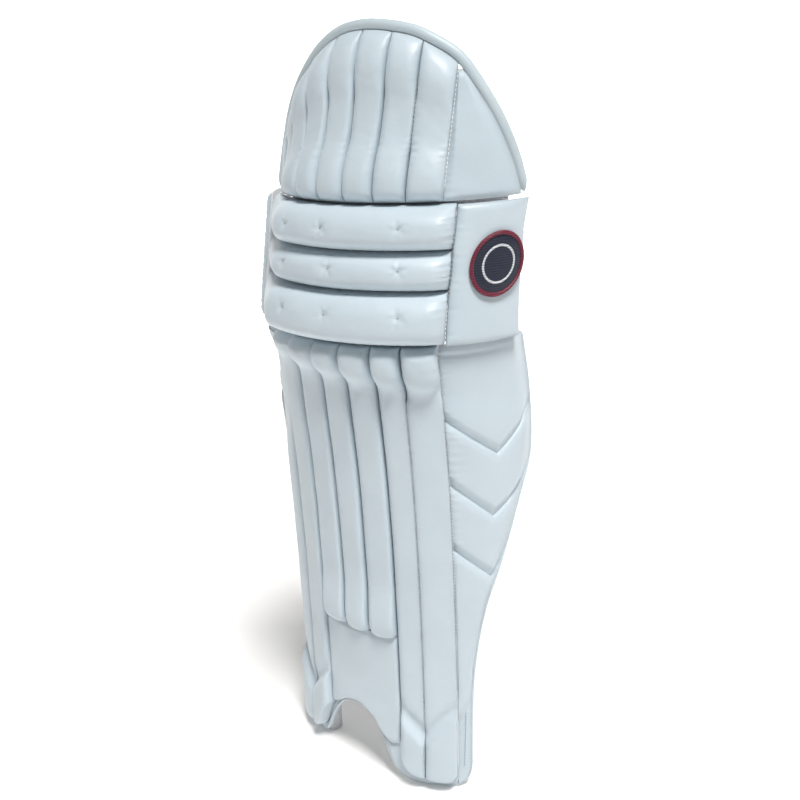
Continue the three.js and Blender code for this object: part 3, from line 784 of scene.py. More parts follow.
def thigh_bolster(k):
    flush = (4.6 if k == 6 else 1.4, 4.6 if k >= 5 else 1.4)

    def place(u, v):
        h = 1 + (smooth(THIGH_LIFTS, v) - 1) * THIGH_FULLNESS[k]
        slim = step(0.26, 0.4, v) * (1 - step(0.6, 0.75, v))
        t, lift = blended_section(u, slim, KNOB_SECTION, SHAFT_SECTION)
        middle = (THIGH_SEAMS[k] + THIGH_SEAMS[k + 1]) / 2
        z = mix(THIGH_BOTTOM, top_edge(middle, PIPING - 0.5), v)
        low, high = (seam_line(k + i, THIGH_SEAMS, z) + (0.5 - i) * GAP for i in (0, 1))
        s = mix(low, high, (t + 1) / 2)
        z = mix(THIGH_BOTTOM, top_edge(s, PIPING - 0.5), v)
        rim = np.minimum(0.8 * h, 1.4 + (mix(*flush, (t + 1) / 2) - 1.4) * slim)
        uneven = 0.5 * wander(s, z, 45, 17) * step(3, 9, h)
        return s, z, rim + (h + uneven - rim) * lift

    def detail(u, v, s, z):
        t = along_path(KNOB_SECTION, u)[0]
        neck = step(0.24, 0.34, v) * (1 - step(0.34, 0.46, v))
        edge = step(0.4, 0.9, np.abs(t)) * (1 - step(0.93, 1, np.abs(t)))
        gathers = (0.12 + 0.4 * neck) * edge * np.sin(z * 1.1 + 2 * np.sin(z * 0.13 + k))
        return gathers + 0.2 * wander(s, z, 11, 60 + k)

    rows = np.concatenate([[0, 0.012], np.linspace(0.03, 0.97, 38), [0.988, 1]])
    Skin(f"thigh_bolster_{k + 1}", TOP, "cover", BOLSTER_COLUMNS, rows, place, level_back(0.4),
         COVER, swell=2.4, fill=0.75, detail=detail)


# ---- knee rolls ----
TUFTS = ((-27, 17, 75), (-37, 14, 71), (-35, 6, 69))
TUFT_HEIGHT = (0.62, 0.60, 0.56)
ROLL_COLUMNS = 86
ROLL_ANGLES = np.linspace(0, math.pi, 21)
ROLL_SWELL = 2.4


def roll_lift(u):
    """A roll keeps its height along its length and rounds off at its ends, down to the seam with the wing."""
    outer = mix(0.34, 1, dome(np.clip((u - 0.86) / 0.14, 0, 1)))
    return np.where(u < 0, smooth(ROLL_INNER_END, u), outer)


def knee_roll(k, name):
    bottom, top = ROLL_SEAMS[k] + GAP / 2, ROLL_SEAMS[k + 1] - GAP / 2
    bulge = ROLL_BULGES[k] - ROLL_SWELL
    girths = TUFTS[k]

    def place(u, v):
        t, lift = across_section(v, 2.25)
        s = u * ROLL_END
        uneven = 1 + 0.035 * wander(s, 0 * s, 60, 30 + k)
        h = 3 + (bulge * uneven - 3) * lift * roll_lift(u)
        middle, half = (bottom + top) / 2, (top - bottom) / 2
        sway = 0.5 * wander(s, 0 * s, 80, 50) * (1 - t * t)
        droop = 2.2 * (k == 0) * lift * (t < 0) * np.sin(math.pi * -np.minimum(t, 0))
        return s, middle + half * t + sway - droop, np.minimum(h, mix(3.4, h, step(0, 0.03, 1 - np.abs(t))))

    def tuft(s, z):
        near = np.inf
        height = mix(bottom, top, TUFT_HEIGHT[k])
        for girth in girths:
            near = np.minimum(near, np.hypot(s - girth, z - height))
        return near

    def detail(u, v, s, z):
        near = tuft(s, z)
        height = mix(bottom, top, TUFT_HEIGHT[k])
        dents = -2.6 * np.exp(-(near / 2.6) ** 2) - 1.5 * np.exp(-(near / 8) ** 2)
        rays = 0
        for girth in girths:
            angle = np.arctan2(z - height, s - girth)
            reach = np.hypot(s - girth, z - height)
            rays = rays + 0.45 * np.cos(5 * angle + girth) * np.exp(-((reach - 4.5) / 3.2) ** 2)
        end = step(0.86, 0.97, np.abs(u))
        gathers = 0.55 * end * np.sin(z * 1.25 + 1.5 * np.sin(z * 0.3 + k))
        across = across_section(v, 2.25)[0]
        seam_edge = step(0.72, 0.98, np.abs(across)) * (1 - step(0.985, 1, np.abs(across)))
        gathers = gathers + 0.3 * seam_edge * np.sin(s * 0.8 + 2 * np.sin(s * 0.09 + k))
        return (dents + rays + gathers + 0.25 * wander(s, z, 16, 80 + k)) * step(0, 0.06, 1 - np.abs(across))

    Skin(f"knee_roll_{name}", KNEE, "cover", np.linspace(-1, 1, ROLL_COLUMNS), ROLL_ANGLES, place,
         level_back(0.5), COVER, swell=ROLL_SWELL, fill=0.9, detail=detail,
         hold=lambda u, v, s, z: tuft(s, z) < 2.5)
    height = mix(bottom, top, TUFT_HEIGHT[k])
    across = (height - (bottom + top) / 2) / ((top - bottom) / 2)
    lift = 3 + (bulge - 3) * (1 - abs(across) ** 2.25) ** (1 / 2.25) - 3.2
    for girth in girths:
        if abs(girth) < ROLL_END:
            STITCHES[KNEE].append(([girth - 1.6, girth + 1.6], [height, height], [lift, lift]))


STITCHES = {SHIN: [], KNEE: [], TOP: []}


# ---- wings ----
CHEVRONS = (
    ((104, 373), (145, 339), (184, 369)),
    ((103, 315), (139, 281), (176, 308)),
    ((103, 253), (136, 222), (151, 238)),
)
CHEVRON_DEPTH = 4.6
UPPER_WALL = 8.5
LOWER_WALL = 7.5
CALF_LIFT = 7.2
TAIL_TOP = 118
TAIL_BOTTOM = 92
INNER_SQUEEZE = 0.72


def chevron_height(corners, girth):
    """Height of a chevron's line at a girth, with its arms carried on straight."""
    (s0, z0), (s1, z1), (s2, z2) = corners
    fore, rear = (z1 - z0) / (s1 - s0), (z2 - z1) / (s2 - s1)
    return z1 + np.where(girth < s1, fore, rear) * (girth - s1), np.where(girth < s1, fore, rear)


def chevron_depth(chevrons, girth, z):
    """How far the chevron grooves sink the wing: a flat upper wall and a rounded lower one."""
    deepest = 0 * z
    for corners in chevrons:
        line, slope = chevron_height(corners, girth)
        off = (z - line) / np.hypot(1, slope)
        upper = 1 - step(-0.25 * UPPER_WALL, UPPER_WALL, off)
        lower = 1 - dome(np.clip(1 + off / LOWER_WALL, 0, 1))
        full = 1 - step(-0.25 * UPPER_WALL, UPPER_WALL, 0.0)
        deepest = np.maximum(deepest, np.where(off >= 0, upper / full, lower))
    return CHEVRON_DEPTH * np.clip(deepest, 0, 1)


def calf_wing(side, edge, name):
    chevrons = CHEVRONS
    if side < 0:
        squeezed = lambda s: INNER_SHIN_SEAM + (s - INNER_SHIN_SEAM) * INNER_SQUEEZE
        chevrons = [[(squeezed(s), z) for s, z in corners] for corners in CHEVRONS]
    top = SHIN_TOP - 0.3
    front = OUTER_SHIN_SEAM if side > 0 else INNER_SHIN_SEAM
    foot = lambda girth: inset_foot(side * girth, 2.0)
    flat = lambda height: (lambda girth: height + 0 * girth)
    offset = lambda corners, by: (lambda girth: chevron_height(corners, girth)[0] + by)
    lines = [foot, flat(TAIL_BOTTOM), flat(TAIL_TOP), flat(150)]
    counts = [16, 6, 7]
    for corners in reversed(chevrons):
        lines += [offset(corners, -11), offset(corners, 0), offset(corners, 12)]
        counts += [8, 4, 5]
    lines += [flat(top - 30), flat(top)]
    counts += [5, 9]
    rows = np.concatenate([k + np.arange(n) / n for k, n in enumerate(counts)] + [[len(counts)]])

    def place(u, v):
        u = np.broadcast_to(u, np.broadcast(u, v).shape)
        v = np.broadcast_to(v, u.shape)
        girth = front + 30 * u
        for _ in range(16):
            knots = np.stack([line(girth) for line in lines])
            knots = np.maximum.accumulate(knots, axis=0)
            i = np.clip(v.astype(int), 0, len(lines) - 2)
            below, above = (np.take_along_axis(knots, i[None] + n, 0)[0] for n in (0, 1))
            z = mix(below, above, v - i)
            z = np.minimum(z, top)
            girth = mix(front, smooth(edge, z) - EDGE_ALLOWANCE + 1.2, u)
        pad = step(TAIL_BOTTOM, TAIL_TOP, z + 30 * (1 - u))
        body = mix(CALF_LIFT, 3.4, step(360, 400, z))
        rim = mix(1.0, 0.9, (1 - step(0, 0.07, u)))
        rear = mix(1, 0.12, step(0.72, 1, u) ** 1.4)
        sunk = chevron_depth(chevrons, girth, z) * np.minimum(1, rear + 0.25)
        lift = mix(1.4, body * rim * rear - sunk, pad)
        lift = lift * mix(0.45, 1, step(0, 5, top - z))
        return side * girth, z, np.maximum(lift, -0.8)

    def hold(u, v, s, z):
        girth = np.abs(s)
        near = z < TAIL_TOP + 6
        for corners in chevrons:
            line, slope = chevron_height(corners, girth)
            near |= np.abs(z - line) / np.hypot(1, slope) < 1.5
        return near

    def detail(u, v, s, z):
        seam_side = (1 - step(0.02, 0.22, u)) * step(0, 0.02, u)
        above_tail = step(TAIL_TOP, TAIL_TOP + 40, z)
        puckers = 0.35 * seam_side * np.sin(z * 0.95 + 2 * np.sin(z * 0.12)) * above_tail
        fold = 0.8 * np.exp(-((z - (top - 9) - 3 * u) / 2.2) ** 2) * (1 - step(0.35, 0.85, u))
        return puckers - fold + 0.22 * wander(s, z, 28, 71) * step(0, 0.05, u) * (1 - step(0.9, 1, u))

    columns = np.concatenate([[0, 0.012], np.linspace(0.035, 0.965, 31), [0.988, 1]])
    Skin(name, SHIN, "cover", columns, rows, place,
         level_back(WING_INNER), COVER, behind=LINING, flip=side < 0, swell=1.8, fill=0.5,
         detail=detail, hold=hold)


def knee_wing(side, edge, name):
    overhang = 1.5 if side > 0 else 0.2

    def place(u, v):
        z = mix(KNEE_BOTTOM + 0.6, KNEE_TOP, v)
        girth = mix(ROLL_END + 0.5, smooth(edge, z) - EDGE_ALLOWANCE + overhang, u)
        across = np.minimum(u / 0.12, (1 - u) / 0.5)
        rim = np.minimum(across, np.minimum((z - KNEE_BOTTOM) / 7, (KNEE_TOP - z) / 6))
        lift = mix(LAP_INNER + 1.6, 13.6, dome(1 - np.clip(rim, 0, 1)))
        return side * girth, z, lift + 0.4 * wander(girth, z, 60, 23) * np.clip(rim, 0, 1)

    def back(u, v, s):
        z = mix(KNEE_BOTTOM, KNEE_TOP, v)
        lap = (z < KNEE_BOTTOM + 32) | (z > KNEE_TOP - 26)
        return np.where(lap, LAP_INNER + 0.2, WING_INNER)

    def detail(u, v, s, z):
        near = (1 - step(0.03, 0.24, u)) * step(0, 0.03, u)
        inside = step(0, 6, z - KNEE_BOTTOM) * step(0, 6, KNEE_TOP - z)
        return inside * (0.55 * near * np.sin(z * 1.25 + 1.5 * np.sin(z * 0.3)) + 0.2 * wander(s, z, 24, 33))

    spots = np.concatenate([[0, 0.02, 0.05], np.linspace(0.09, 0.91, 23), [0.95, 0.98, 1]])
    Skin(name, KNEE, "cover", spots, spots, place, back, COVER, behind=LINING, flip=side < 0, swell=1.2,
         fill=0.5, detail=detail)


def top_wing(side, seam, top, name):
    front = seam + GAP

    def place(u, v):
        z = mix(THIGH_BOTTOM, top, v)
        rear = top_wing_edge(side, z, PIPING - 0.6)
        girth = mix(front, rear, u)
        z = np.minimum(z, top_edge(side * girth, PIPING - 0.6) + 40 * u)
        rim = mix(0.5, 1, step(0, 0.1, u))
        crest = np.exp(-(((girth - front) - 22) / 16) ** 2)
        body = mix(3.2, 4.4 + 1.6 * crest, step(THIGH_BOTTOM + 12, THIGH_BOTTOM + 44, z))
        lift = body * rim * mix(1, 0.45, step(0.6, 1, u))
        foot = mix(0.5, 1, step(0, 5, z - THIGH_BOTTOM))
        return side * girth, z, lift * foot * mix(0.6, 1, step(0, 0.06, 1 - v))

    def detail(u, v, s, z):
        near = (1 - step(0.03, 0.2, u)) * step(0, 0.03, u)
        puckers = 0.3 * near * np.sin(z * 1.1 + 2 * np.sin(z * 0.13))
        return puckers + 0.25 * wander(s, z, 30, 37) * step(0, 0.08, u)

    spots = np.concatenate([[0, 0.02], np.linspace(0.05, 0.95, 23), [0.98, 1]])
    rows = np.concatenate([[0, 0.02], np.linspace(0.05, 0.95, 27), [0.98, 1]])
    Skin(name, TOP, "cover", spots, rows, place, level_back(WING_INNER), COVER, behind=LINING,
         flip=side < 0, swell=1.6, fill=0.5, detail=detail)


# ---- instep panel and backing panels ----
def instep_panel():
    low, high = SHIN_SEAMS[2] + GAP / 2, SHIN_SEAMS[5] - GAP / 2

    def place(u, v):
        s = mix(low, high, (u + 1) / 2)
        foot = smooth(COVER_FOOT, s)
        z = mix(foot, INSTEP_TOP + 2, v)
        side = dome(np.clip((np.abs(u) - 0.9) / 0.1, 0, 1))
        hollow = 1.6 * np.exp(-((z - 105) / 26) ** 2) * (1 - u * u)
        edge = dome(np.clip(1 - (z - foot) / 7, 0, 1))
        return s, z, 1.0 + (4.6 - hollow) * edge * mix(0.25, 1, side) * mix(0.6, 1, step(0, 0.06, 1 - v))

    def detail(u, v, s, z):
        return 0.3 * wander(s, z, 38, 91) * dome(u)

    rows = np.concatenate([[0, 0.01], np.linspace(0.03, 1, 34)])
    Skin("instep_panel", SHIN, "cover", np.linspace(-1, 1, 41), rows, place, level_back(0.5), COVER, swell=0.9,
         fill=0.35, detail=detail)


FLANGE = 1.5


def shin_backing():
    sides = (-105.2, -38, 30), (-36, 26, 19), (28, 102.8, 34)
    columns = np.concatenate([np.linspace(*side) for side in sides])
    rows = np.concatenate([np.linspace(0, 0.04, 5)[:-1], np.linspace(0.04, 1, 46)])

    def place(u, v):
        z = mix(inset_foot(u, 1.9), SHIN_TOP - 0.5, v)
        flange = 1 - step(-2.6, -0.4, z - smooth(COVER_FOOT, u))
        return u, z, FLANGE * flange - 0.4 * (1 - step(0, 0.004, v))

    Skin("shin_backing", SHIN, "board", columns, rows, place, level_back(-BACKING), COVER,
         behind=BOARD, fill=0.5)


def plain_panel(name, body, columns, bottom, top, inner, outer):
    def place(u, v):
        return u, mix(bottom, top(u), v), outer + 0 * u

    Skin(name, body, "board", columns, np.linspace(0, 1, 30), place, level_back(inner), COVER, behind=BOARD,
         fill=0.5)


# ---- liners on the leg side ----
def grooves(z, channels, width):
    """1 along a liner's sewn channels, falling off to 0 beside them."""
    deepest = 0
    for channel in channels:
        deepest = np.maximum(deepest, np.exp(-(np.abs(z - channel) / width) ** 1.3))
    return deepest


def liner(name, body, s0, s1, z0, z1, depth, channels=()):
    """An upright pad behind the shin or knee, crowned across and sewn down along level channels."""
    middle, half = (s0 + s1) / 2, (s1 - s0) / 2

    def place(u, v):
        t, lift = across_section(u, 3.0)
        z = mix(z0, z1, v)
        ends = dome(np.clip(1 - np.minimum(z - z0, z1 - z) / 9, 0, 1))
        body_lift = (depth - 2.2) * ends * (1 - 0.42 * grooves(z, channels, 3.2))
        return middle + half * t, z, LINER_FACE - 1.2 - body_lift * lift

    def detail(u, v, s, z):
        return 0.3 * wander(s, z, 20, int(abs(s0)) + 5) * np.sin(u)

    rows = np.linspace(0, 1, int((z1 - z0) / 4.2))
    Skin(name, body, "lining", np.linspace(0, math.pi, 13), rows, place, level_back(LINER_FACE), LINING,
         flip=True, swell=1.6, fill=0.6, detail=detail)


REST_PLANE = 27
REST_HALF_WIDTH = 24
REST_BOTTOM, REST_TOP = 90, 432


def centre_liner(channels):
    """The pad that the shin rests on: its back is flat but for the sewn channels and rounded edges."""
    def place(u, v):
        s = REST_HALF_WIDTH * u
        z = mix(REST_BOTTOM, REST_TOP, v)
        turn = s / FRONT_RADIUS
        flat = (FRONT_RADIUS * (1 - np.cos(turn)) + smooth(PROFILE, z) - REST_PLANE) / np.cos(turn)
        inside = np.minimum(REST_HALF_WIDTH * (1 - np.abs(u)), np.minimum(z - REST_BOTTOM, REST_TOP - z))
        edge = dome(np.clip(1 - inside / 6, 0, 1))
        return s, z, mix(LINER_FACE - 1, flat, edge * (1 - 0.25 * grooves(z, channels, 2.6)))

    columns = np.concatenate([[-1, -0.97, -0.93], np.linspace(-0.86, 0.86, 13), [0.93, 0.97, 1]])
    Skin("shin_liner_centre", SHIN, "lining", columns, np.linspace(0, 1, 90), place, level_back(LINER_FACE),
         LINING, flip=True, fill=0.8)


ANKLE_PAD = (64, 99)
ANKLE_TOP = 215
ANKLE_DEPTH = 15.4


def ankle_pad(side, name, channels):
    low, high = ANKLE_PAD

    def place(u, v):
        t, lift = across_section(u, 4.0)
        z = mix(0, ANKLE_TOP, v)
        ends = dome(np.clip(1 - (ANKLE_TOP - z) / 14, 0, 1))
        body_lift = (ANKLE_DEPTH - 2.4) * ends * (1 - 0.35 * grooves(z, channels, 3.0)) * lift
        return side * mix(low, high, (t + 1) / 2), z, LINER_FACE - 1.4 - body_lift

    Skin(name, SHIN, "lining", np.linspace(0, math.pi, 15), np.linspace(0, 1, 52), place,
         level_back(LINER_FACE), LINING, flip=side > 0, swell=1.0, fill=0.6)


def thigh_liner():
    def place(u, v):
        s = 82 * u
        z = mix(568, top_edge(s) - 14, v)
        ribs = 0.5 + 0.5 * np.cos(s * 2 * math.pi / LINER_RIB_PITCH)
        edge = dome(np.clip(1 - np.minimum(np.minimum(v, 1 - v) * 9, (1 - np.abs(u)) * 10), 0, 1))
        return s, z, LINER_FACE - 1 - (9.2 - 2.6 * (1 - ribs) ** 3) * edge

    Skin("thigh_liner", TOP, "lining", np.linspace(-1, 1, 57), np.linspace(0, 1, 30), place,
         level_back(LINER_FACE), LINING, flip=True, swell=1.2, fill=0.5)


# ---- round trim ----
def tube(name, body, path, depth, height, finish, replaced=(), wrinkle=0.0, sides=14):
    """A welt along (s, z, h) points, depth thick across the surface and height thick along it."""
    s, z, h = (np.asarray(a, float) for a in path)
    centre = on_pad(s, z, h)
    tangent = np.gradient(centre, axis=0)
    tangent /= np.linalg.norm(tangent, axis=1, keepdims=True)
    up = outward(s)
    up = up - (up * tangent).sum(1, keepdims=True) * tangent
    up /= np.linalg.norm(up, axis=1, keepdims=True)
    side = np.cross(tangent, up)
    reach = reach_along(centre) / MM
    ends = np.minimum(1, np.sqrt(np.maximum(0.02, np.minimum(reach, reach[-1] - reach) / height)))
    angle = np.linspace(0, 2 * math.pi, sides, endpoint=False)
    along = reach[:, None]
    puckers = 1 + wrinkle * np.sin(along * 1.9 + 1.5 * np.sin(along * 0.31) + 0.6 * np.cos(angle))
    ring = ends[:, None] * puckers * MM
    points = (centre[:, None] + up[:, None] * (depth / 2 * np.cos(angle) * ring)[..., None]
              + side[:, None] * (height / 2 * np.sin(angle) * ring)[..., None])
    rows = len(s)
    piece = new_mesh(name + "_soft", points, ring_faces(rows, sides), sharp=80)
    over = np.stack([np.repeat(reach, sides), np.tile(angle * height, rows), np.zeros(rows * sides)], -1) * MM
    write_attribute(piece, "over_pad", over, "FLOAT_VECTOR")
    # The welts get no painted seam shade.
    write_attribute(piece, "seam_shade", np.zeros(rows * sides))
    piece.data.materials.append(finish)
    dress(piece, body, replaced)
    return piece


def even(points, spacing):
    """Points an even distance apart along a line of (s, z) points."""
    points = np.asarray(points, float)
    reach = np.concatenate([[0], np.hypot(*np.diff(points, axis=0).T).cumsum()])
    marks = np.linspace(0, reach[-1], int(reach[-1] / spacing) + 1)
    return [np.interp(marks, reach, axis) for axis in points.T]


def bindings():
    s = np.linspace(BOTTOM_EDGE[0][0] + 0.5, BOTTOM_EDGE[-1][0] - 0.5, 1400)
    foot = np.stack([s, smooth(BOTTOM_EDGE, s) + BINDING / 2], 1)
    heights = np.linspace(24, SHIN_TOP - 1, 120)
    outer = np.stack([smooth(OUTER_CALF_EDGE, heights) - 1.0, heights], 1)
    inner = np.stack([1.0 - smooth(INNER_CALF_EDGE, heights), heights], 1)
    s, z = even(np.concatenate([inner[::-1], foot, outer]), 2.0)
    for _ in range(4):
        s[1:-1], z[1:-1] = ((a[:-2] + 2 * a[1:-1] + a[2:]) / 4 for a in (s, z))
    z = np.maximum(z, BINDING / 2)
    tube("lower_binding", SHIN, (s, z, -1.6 + 0 * s), BINDING_DEPTH, BINDING, TRIM, ["lower_binding"],
         wrinkle=0.03)
    s = np.linspace(TOP_EDGE[0][0], TOP_EDGE[-1][0], 1200)
    s, z = even(np.stack([s, smooth(TOP_EDGE, s)], 1), 2.0)
    tube("top_binding", TOP, (s, z, 0 * s), 2 * PIPING, 2 * PIPING, TRIM, ["top_binding"],
         wrinkle=0.018, sides=20)


# ---- stitching ----
STITCH_PITCH = 3.4
STITCH_LENGTH = 2.3
STITCH_RADIUS = 0.42
STITCH_SIDES = 6


def sew(body, name):
    """One mesh with every visible stitch on a body: a short, plump loop of thread each."""
    points, faces = [], []
    rings = ((-0.5, 0.35), (-0.32, 0.9), (0, 1.0), (0.32, 0.9), (0.5, 0.35))
    angle = np.linspace(0, 2 * math.pi, STITCH_SIDES, endpoint=False)
    for s, z, h in STITCHES[body]:
        line = on_pad(*(np.asarray(a, float) for a in (s, z, h)))
        reach = reach_along(line) / MM
        count = max(1, int(reach[-1] / STITCH_PITCH))
        marks = (np.arange(count) + 0.5) * reach[-1] / count
        girths = np.interp(marks, reach, s)
        for mark, girth in zip(marks, girths):
            beside = (mark - 0.4, mark + 0.4)
            ends = [np.array([np.interp(m, reach, line[:, i]) for i in range(3)]) for m in beside]
            tangent = (ends[1] - ends[0]) / np.linalg.norm(ends[1] - ends[0])
            up = outward(girth)
            side = np.cross(tangent, up)
            centre = (ends[0] + ends[1]) / 2
            first = len(points)
            for along, width in rings:
                ring = centre + tangent * along * STITCH_LENGTH * MM
                for a in angle:
                    points.append(ring + STITCH_RADIUS * width * MM * (up * math.cos(a) + side * math.sin(a)))
            faces += ring_faces(len(rings), STITCH_SIDES, first)
    piece = new_mesh(name, points, faces, sharp=80)
    piece.data.materials.append(THREAD)
    dress(piece, body)


def mark_stitches():
    """Where the seams show their thread."""
    z = np.linspace(26, 396, 200)
    lift = FLUSH_SEAM + 1.0 + bulb_shape(SHIN_SEAMS[6], z, False)
    STITCHES[SHIN].append((seam_line(6, SHIN_SEAMS, z), z, lift))
    z = np.linspace(112, 434, 200)
    STITCHES[SHIN].append((OUTER_SHIN_SEAM - 0.2 + 0 * z, z, WING_SEAM + 0.6 - 3.2 * step(360, 400, z)))
    for side in (-1, 1):
        z = np.linspace(24, 112, 60)
        STITCHES[SHIN].append((side * (108.6 + 2.4 * z / 112), z, 2.2 + 0 * z))
    z = np.linspace(THIGH_BOTTOM + 6, 652, 60)
    STITCHES[TOP].append((THIGH_SEAMS[7] + 0 * z, z, 3.6 + 0 * z))
    z = np.linspace(590, 650, 40)
    STITCHES[TOP].append((THIGH_SEAMS[6] + 0 * z, z, 5.4 + 0 * z))
    z = np.linspace(KNEE_BOTTOM + 4, KNEE_TOP - 3, 60)
    STITCHES[KNEE].append((ROLL_END + 0.2 + 0 * z, z, 10.6 + 0 * z))


# ---- straps ----
WEB_THICKNESS = 2
TAB_FACE = -7.6
CUSHION = 7
CUSHION_BORDER = 6
HOOK_DEPTH = 1.6
ANCHOR_DEPTH = 2.3
CUSHION_SPAN = (0.2, 0.66)
PATCH_GAP = 0.6
HINGE_SETBACK = 4
ANCHOR_WIDTH = 24
STRAPS = (
    ("ankle", 150, 32, INNER_CALF_EDGE, (107.5, 118),
     ((-94, 84), (-32, 98), (36, 95), (84, 80))),
    ("calf", 330, 44, INNER_CALF_EDGE, (146, 170),
     ((-114, 112), (-48, 138), (30, 145), (92, 137), (117, 117))),
    ("knee", 500, 38, INNER_KNEE_EDGE, (136, 160),
     ((-118, 124), (-52, 150), (26, 158), (90, 144), (117, 122))),
)


def in_plan(s, z, h):
    return (on_pad(s, z, h) / MM)[:2] + ORIGIN_IN_PLAN


def centripetal(points, steps=60):
    """A centripetal Catmull-Rom curve through points in plan, as points an even distance apart."""
    p = np.array(points, float)
    p = np.concatenate([[2 * p[0] - p[1]], p, [2 * p[-1] - p[-2]]])
    line = []
    for i in range(1, len(p) - 2):
        spacing = np.sqrt(np.linalg.norm(np.diff(p[i - 1:i + 3], axis=0), axis=1))
        knots = np.concatenate([[0], spacing.cumsum()])
        t = np.linspace(knots[1], knots[2], steps, endpoint=i == len(p) - 3)[:, None]
        level = [p[i - 1 + k] for k in range(4)]
        for spans in (((0, 1), (1, 2), (2, 3)), ((0, 2), (1, 3)), ((1, 2),)):
            level = [(level[k] * (knots[b] - t) + level[k + 1] * (t - knots[a])) / (knots[b] - knots[a])
                     for k, (a, b) in enumerate(spans)]
        line.append(level[0])
    line = np.concatenate(line)
    reach = reach_along(line)
    marks = np.linspace(0, reach[-1], 400)
    return np.stack([np.interp(marks, reach, axis) for axis in line.T], 1), reach[-1]


def band_points(curve, share, z, out, middle):
    """Points beside a plan curve, out to its left, leaning back with the pad's side profile."""
    places = np.linspace(0, 1, len(curve))
    tangent = np.gradient(curve, axis=0)
    tangent /= np.linalg.norm(tangent, axis=1, keepdims=True)
    x, y, tx, ty = (np.interp(share, places, a) for a in (*curve.T, *tangent.T))
    lean = smooth(PROFILE, z) - smooth(PROFILE, middle)
    places = (x - ty * out - ORIGIN_IN_PLAN[0], y + tx * out + lean - ORIGIN_IN_PLAN[1], z + 0 * x)
    return np.stack(places, -1) * MM


def band(name, body, curve, length, shares, low, high, near, far, finish, replaced, rounding, columns=15,
         rows=80, channels=0):
    """A strap or pad standing on edge along a plan curve, between near and far, with rounded edges."""
    middle = (low + high) / 2

    def surface(fine, out, other):
        counts = (2 * columns - 1, 2 * rows - 1) if fine else (columns, rows)
        v, u = np.meshgrid(*(np.linspace(0, 1, count) for count in counts))
        z = mix(low, high, 0.5 - 0.5 * np.cos(v * math.pi)) if rounding > 1.5 else mix(low, high, v)
        span = length * (shares[1] - shares[0])
        edge = np.minimum(np.minimum(z - low, high - z), np.minimum(u, 1 - u) * span)
        full = dome(np.clip(1 - edge / rounding, 0, 1))
        if channels:
            sewn = 0.3 * np.exp(-(np.abs(np.sin(u * channels * math.pi)) / 0.12) ** 2)
            full = full * (1 - sewn * step(0, 0.06, u) * step(0, 0.06, 1 - u))
        centre = (out + other) / 2
        side = centre + (out - centre) * np.maximum(full, 0.12)
        return band_points(curve, mix(*shares, u), z, side, middle), u, z

    front, u, z = surface(True, near, far)
    back, u2, z2 = surface(False, far, near)
    upright = (np.swapaxes(grid, 0, 1) for grid in (front, back))
    piece = closed(name + "_soft", *upright, flip=near > far, sharp=60)
    extent = shares[1] - shares[0]
    write_over_pad(piece, *(((a * length * extent).T, b.T) for a, b in ((u, z), (u2, z2))))
    piece.data.materials.append(finish)
    dress(piece, body, replaced)
    return piece


def patch(name, body, slot, s0, s1, low, high, near, far, finish, replaced):
    """A flat piece of tape sewn to a wing."""
    def surface(columns, rows, h):
        s, z = np.meshgrid(np.linspace(s0, s1, columns), np.linspace(low, high, rows))
        edge = np.minimum(np.minimum(s - s0, s1 - s), np.minimum(z - low, high - z))
        centre = (near + far) / 2
        full = np.maximum(dome(np.clip(1 - edge / 0.9, 0, 1)), 0.2)
        return on_pad(s, z, centre + (h - centre) * full), s, z

    front, s, z = surface(25, 49, near)
    back, s2, z2 = surface(13, 25, far)
    piece = closed(name + "_soft", front, back, flip=True, sharp=60)
    write_over_pad(piece, (s, z), (s2, z2))
    piece.data.materials.append(finish)
    dress(piece, body, replaced)


def make_straps():
    for name, level, width, wing, end, bend in STRAPS:
        body = f"{name}_strap"
        home = KNEE if name == "knee" else SHIN
        low, high = level - width / 2, level + width / 2
        edge = EDGE_ALLOWANCE - float(smooth(wing, level))
        tab = (end[1], (end[0] + end[1]) / 2, end[0])
        plan = [in_plan(edge - HINGE_SETBACK, level, -1), *bend,
                *(in_plan(s, level, TAB_FACE - WEB_THICKNESS / 2 - GAP) for s in tab)]
        curve, length = centripetal(plan)
        half = WEB_THICKNESS / 2
        band(f"{name}_strap_web", body, curve, length, (0, 1), low, high, half, -half, WEBBING,
             [f"{name}_strap_web"], 0.9)
        if name != "ankle":
            inner = -half - GAP
            cushion = band(f"{name}_strap_cushion", body, curve, length, CUSHION_SPAN,
                           low - CUSHION_BORDER, high + CUSHION_BORDER, inner - CUSHION, inner, LINING,
                           [f"{name}_strap_cushion"], 5.0, channels=5)
        patch(f"{name}_hook_patch", home, "hook_and_loop", *end, low, high, WING_INNER - HOOK_DEPTH,
              WING_INNER - PATCH_GAP, HOOKS, [f"{name}_hook_patch"])
        patch(f"{name}_strap_tab", body, "hook_and_loop", end[0] + 1, end[1] - 1, low, high, TAB_FACE + GAP,
              WING_INNER - HOOK_DEPTH - GAP, HOOKS, [f"{name}_strap_tab"])
        anchor_end = min(edge + ANCHOR_WIDTH, -INNER_SHIN_SEAM - 1.5)
        patch(f"{name}_strap_anchor", home, "webbing", edge + 1, anchor_end, low, high,
              WING_INNER - ANCHOR_DEPTH, WING_INNER - PATCH_GAP, WEBBING, [f"{name}_strap_anchor"])


# ---- badge ----
BADGE_GIRTH, BADGE_HEIGHT = 141, 504
BADGE_HALF_WIDTH, BADGE_HALF_HEIGHT = 20.5, 25.5
BADGE_FACE = 15.2


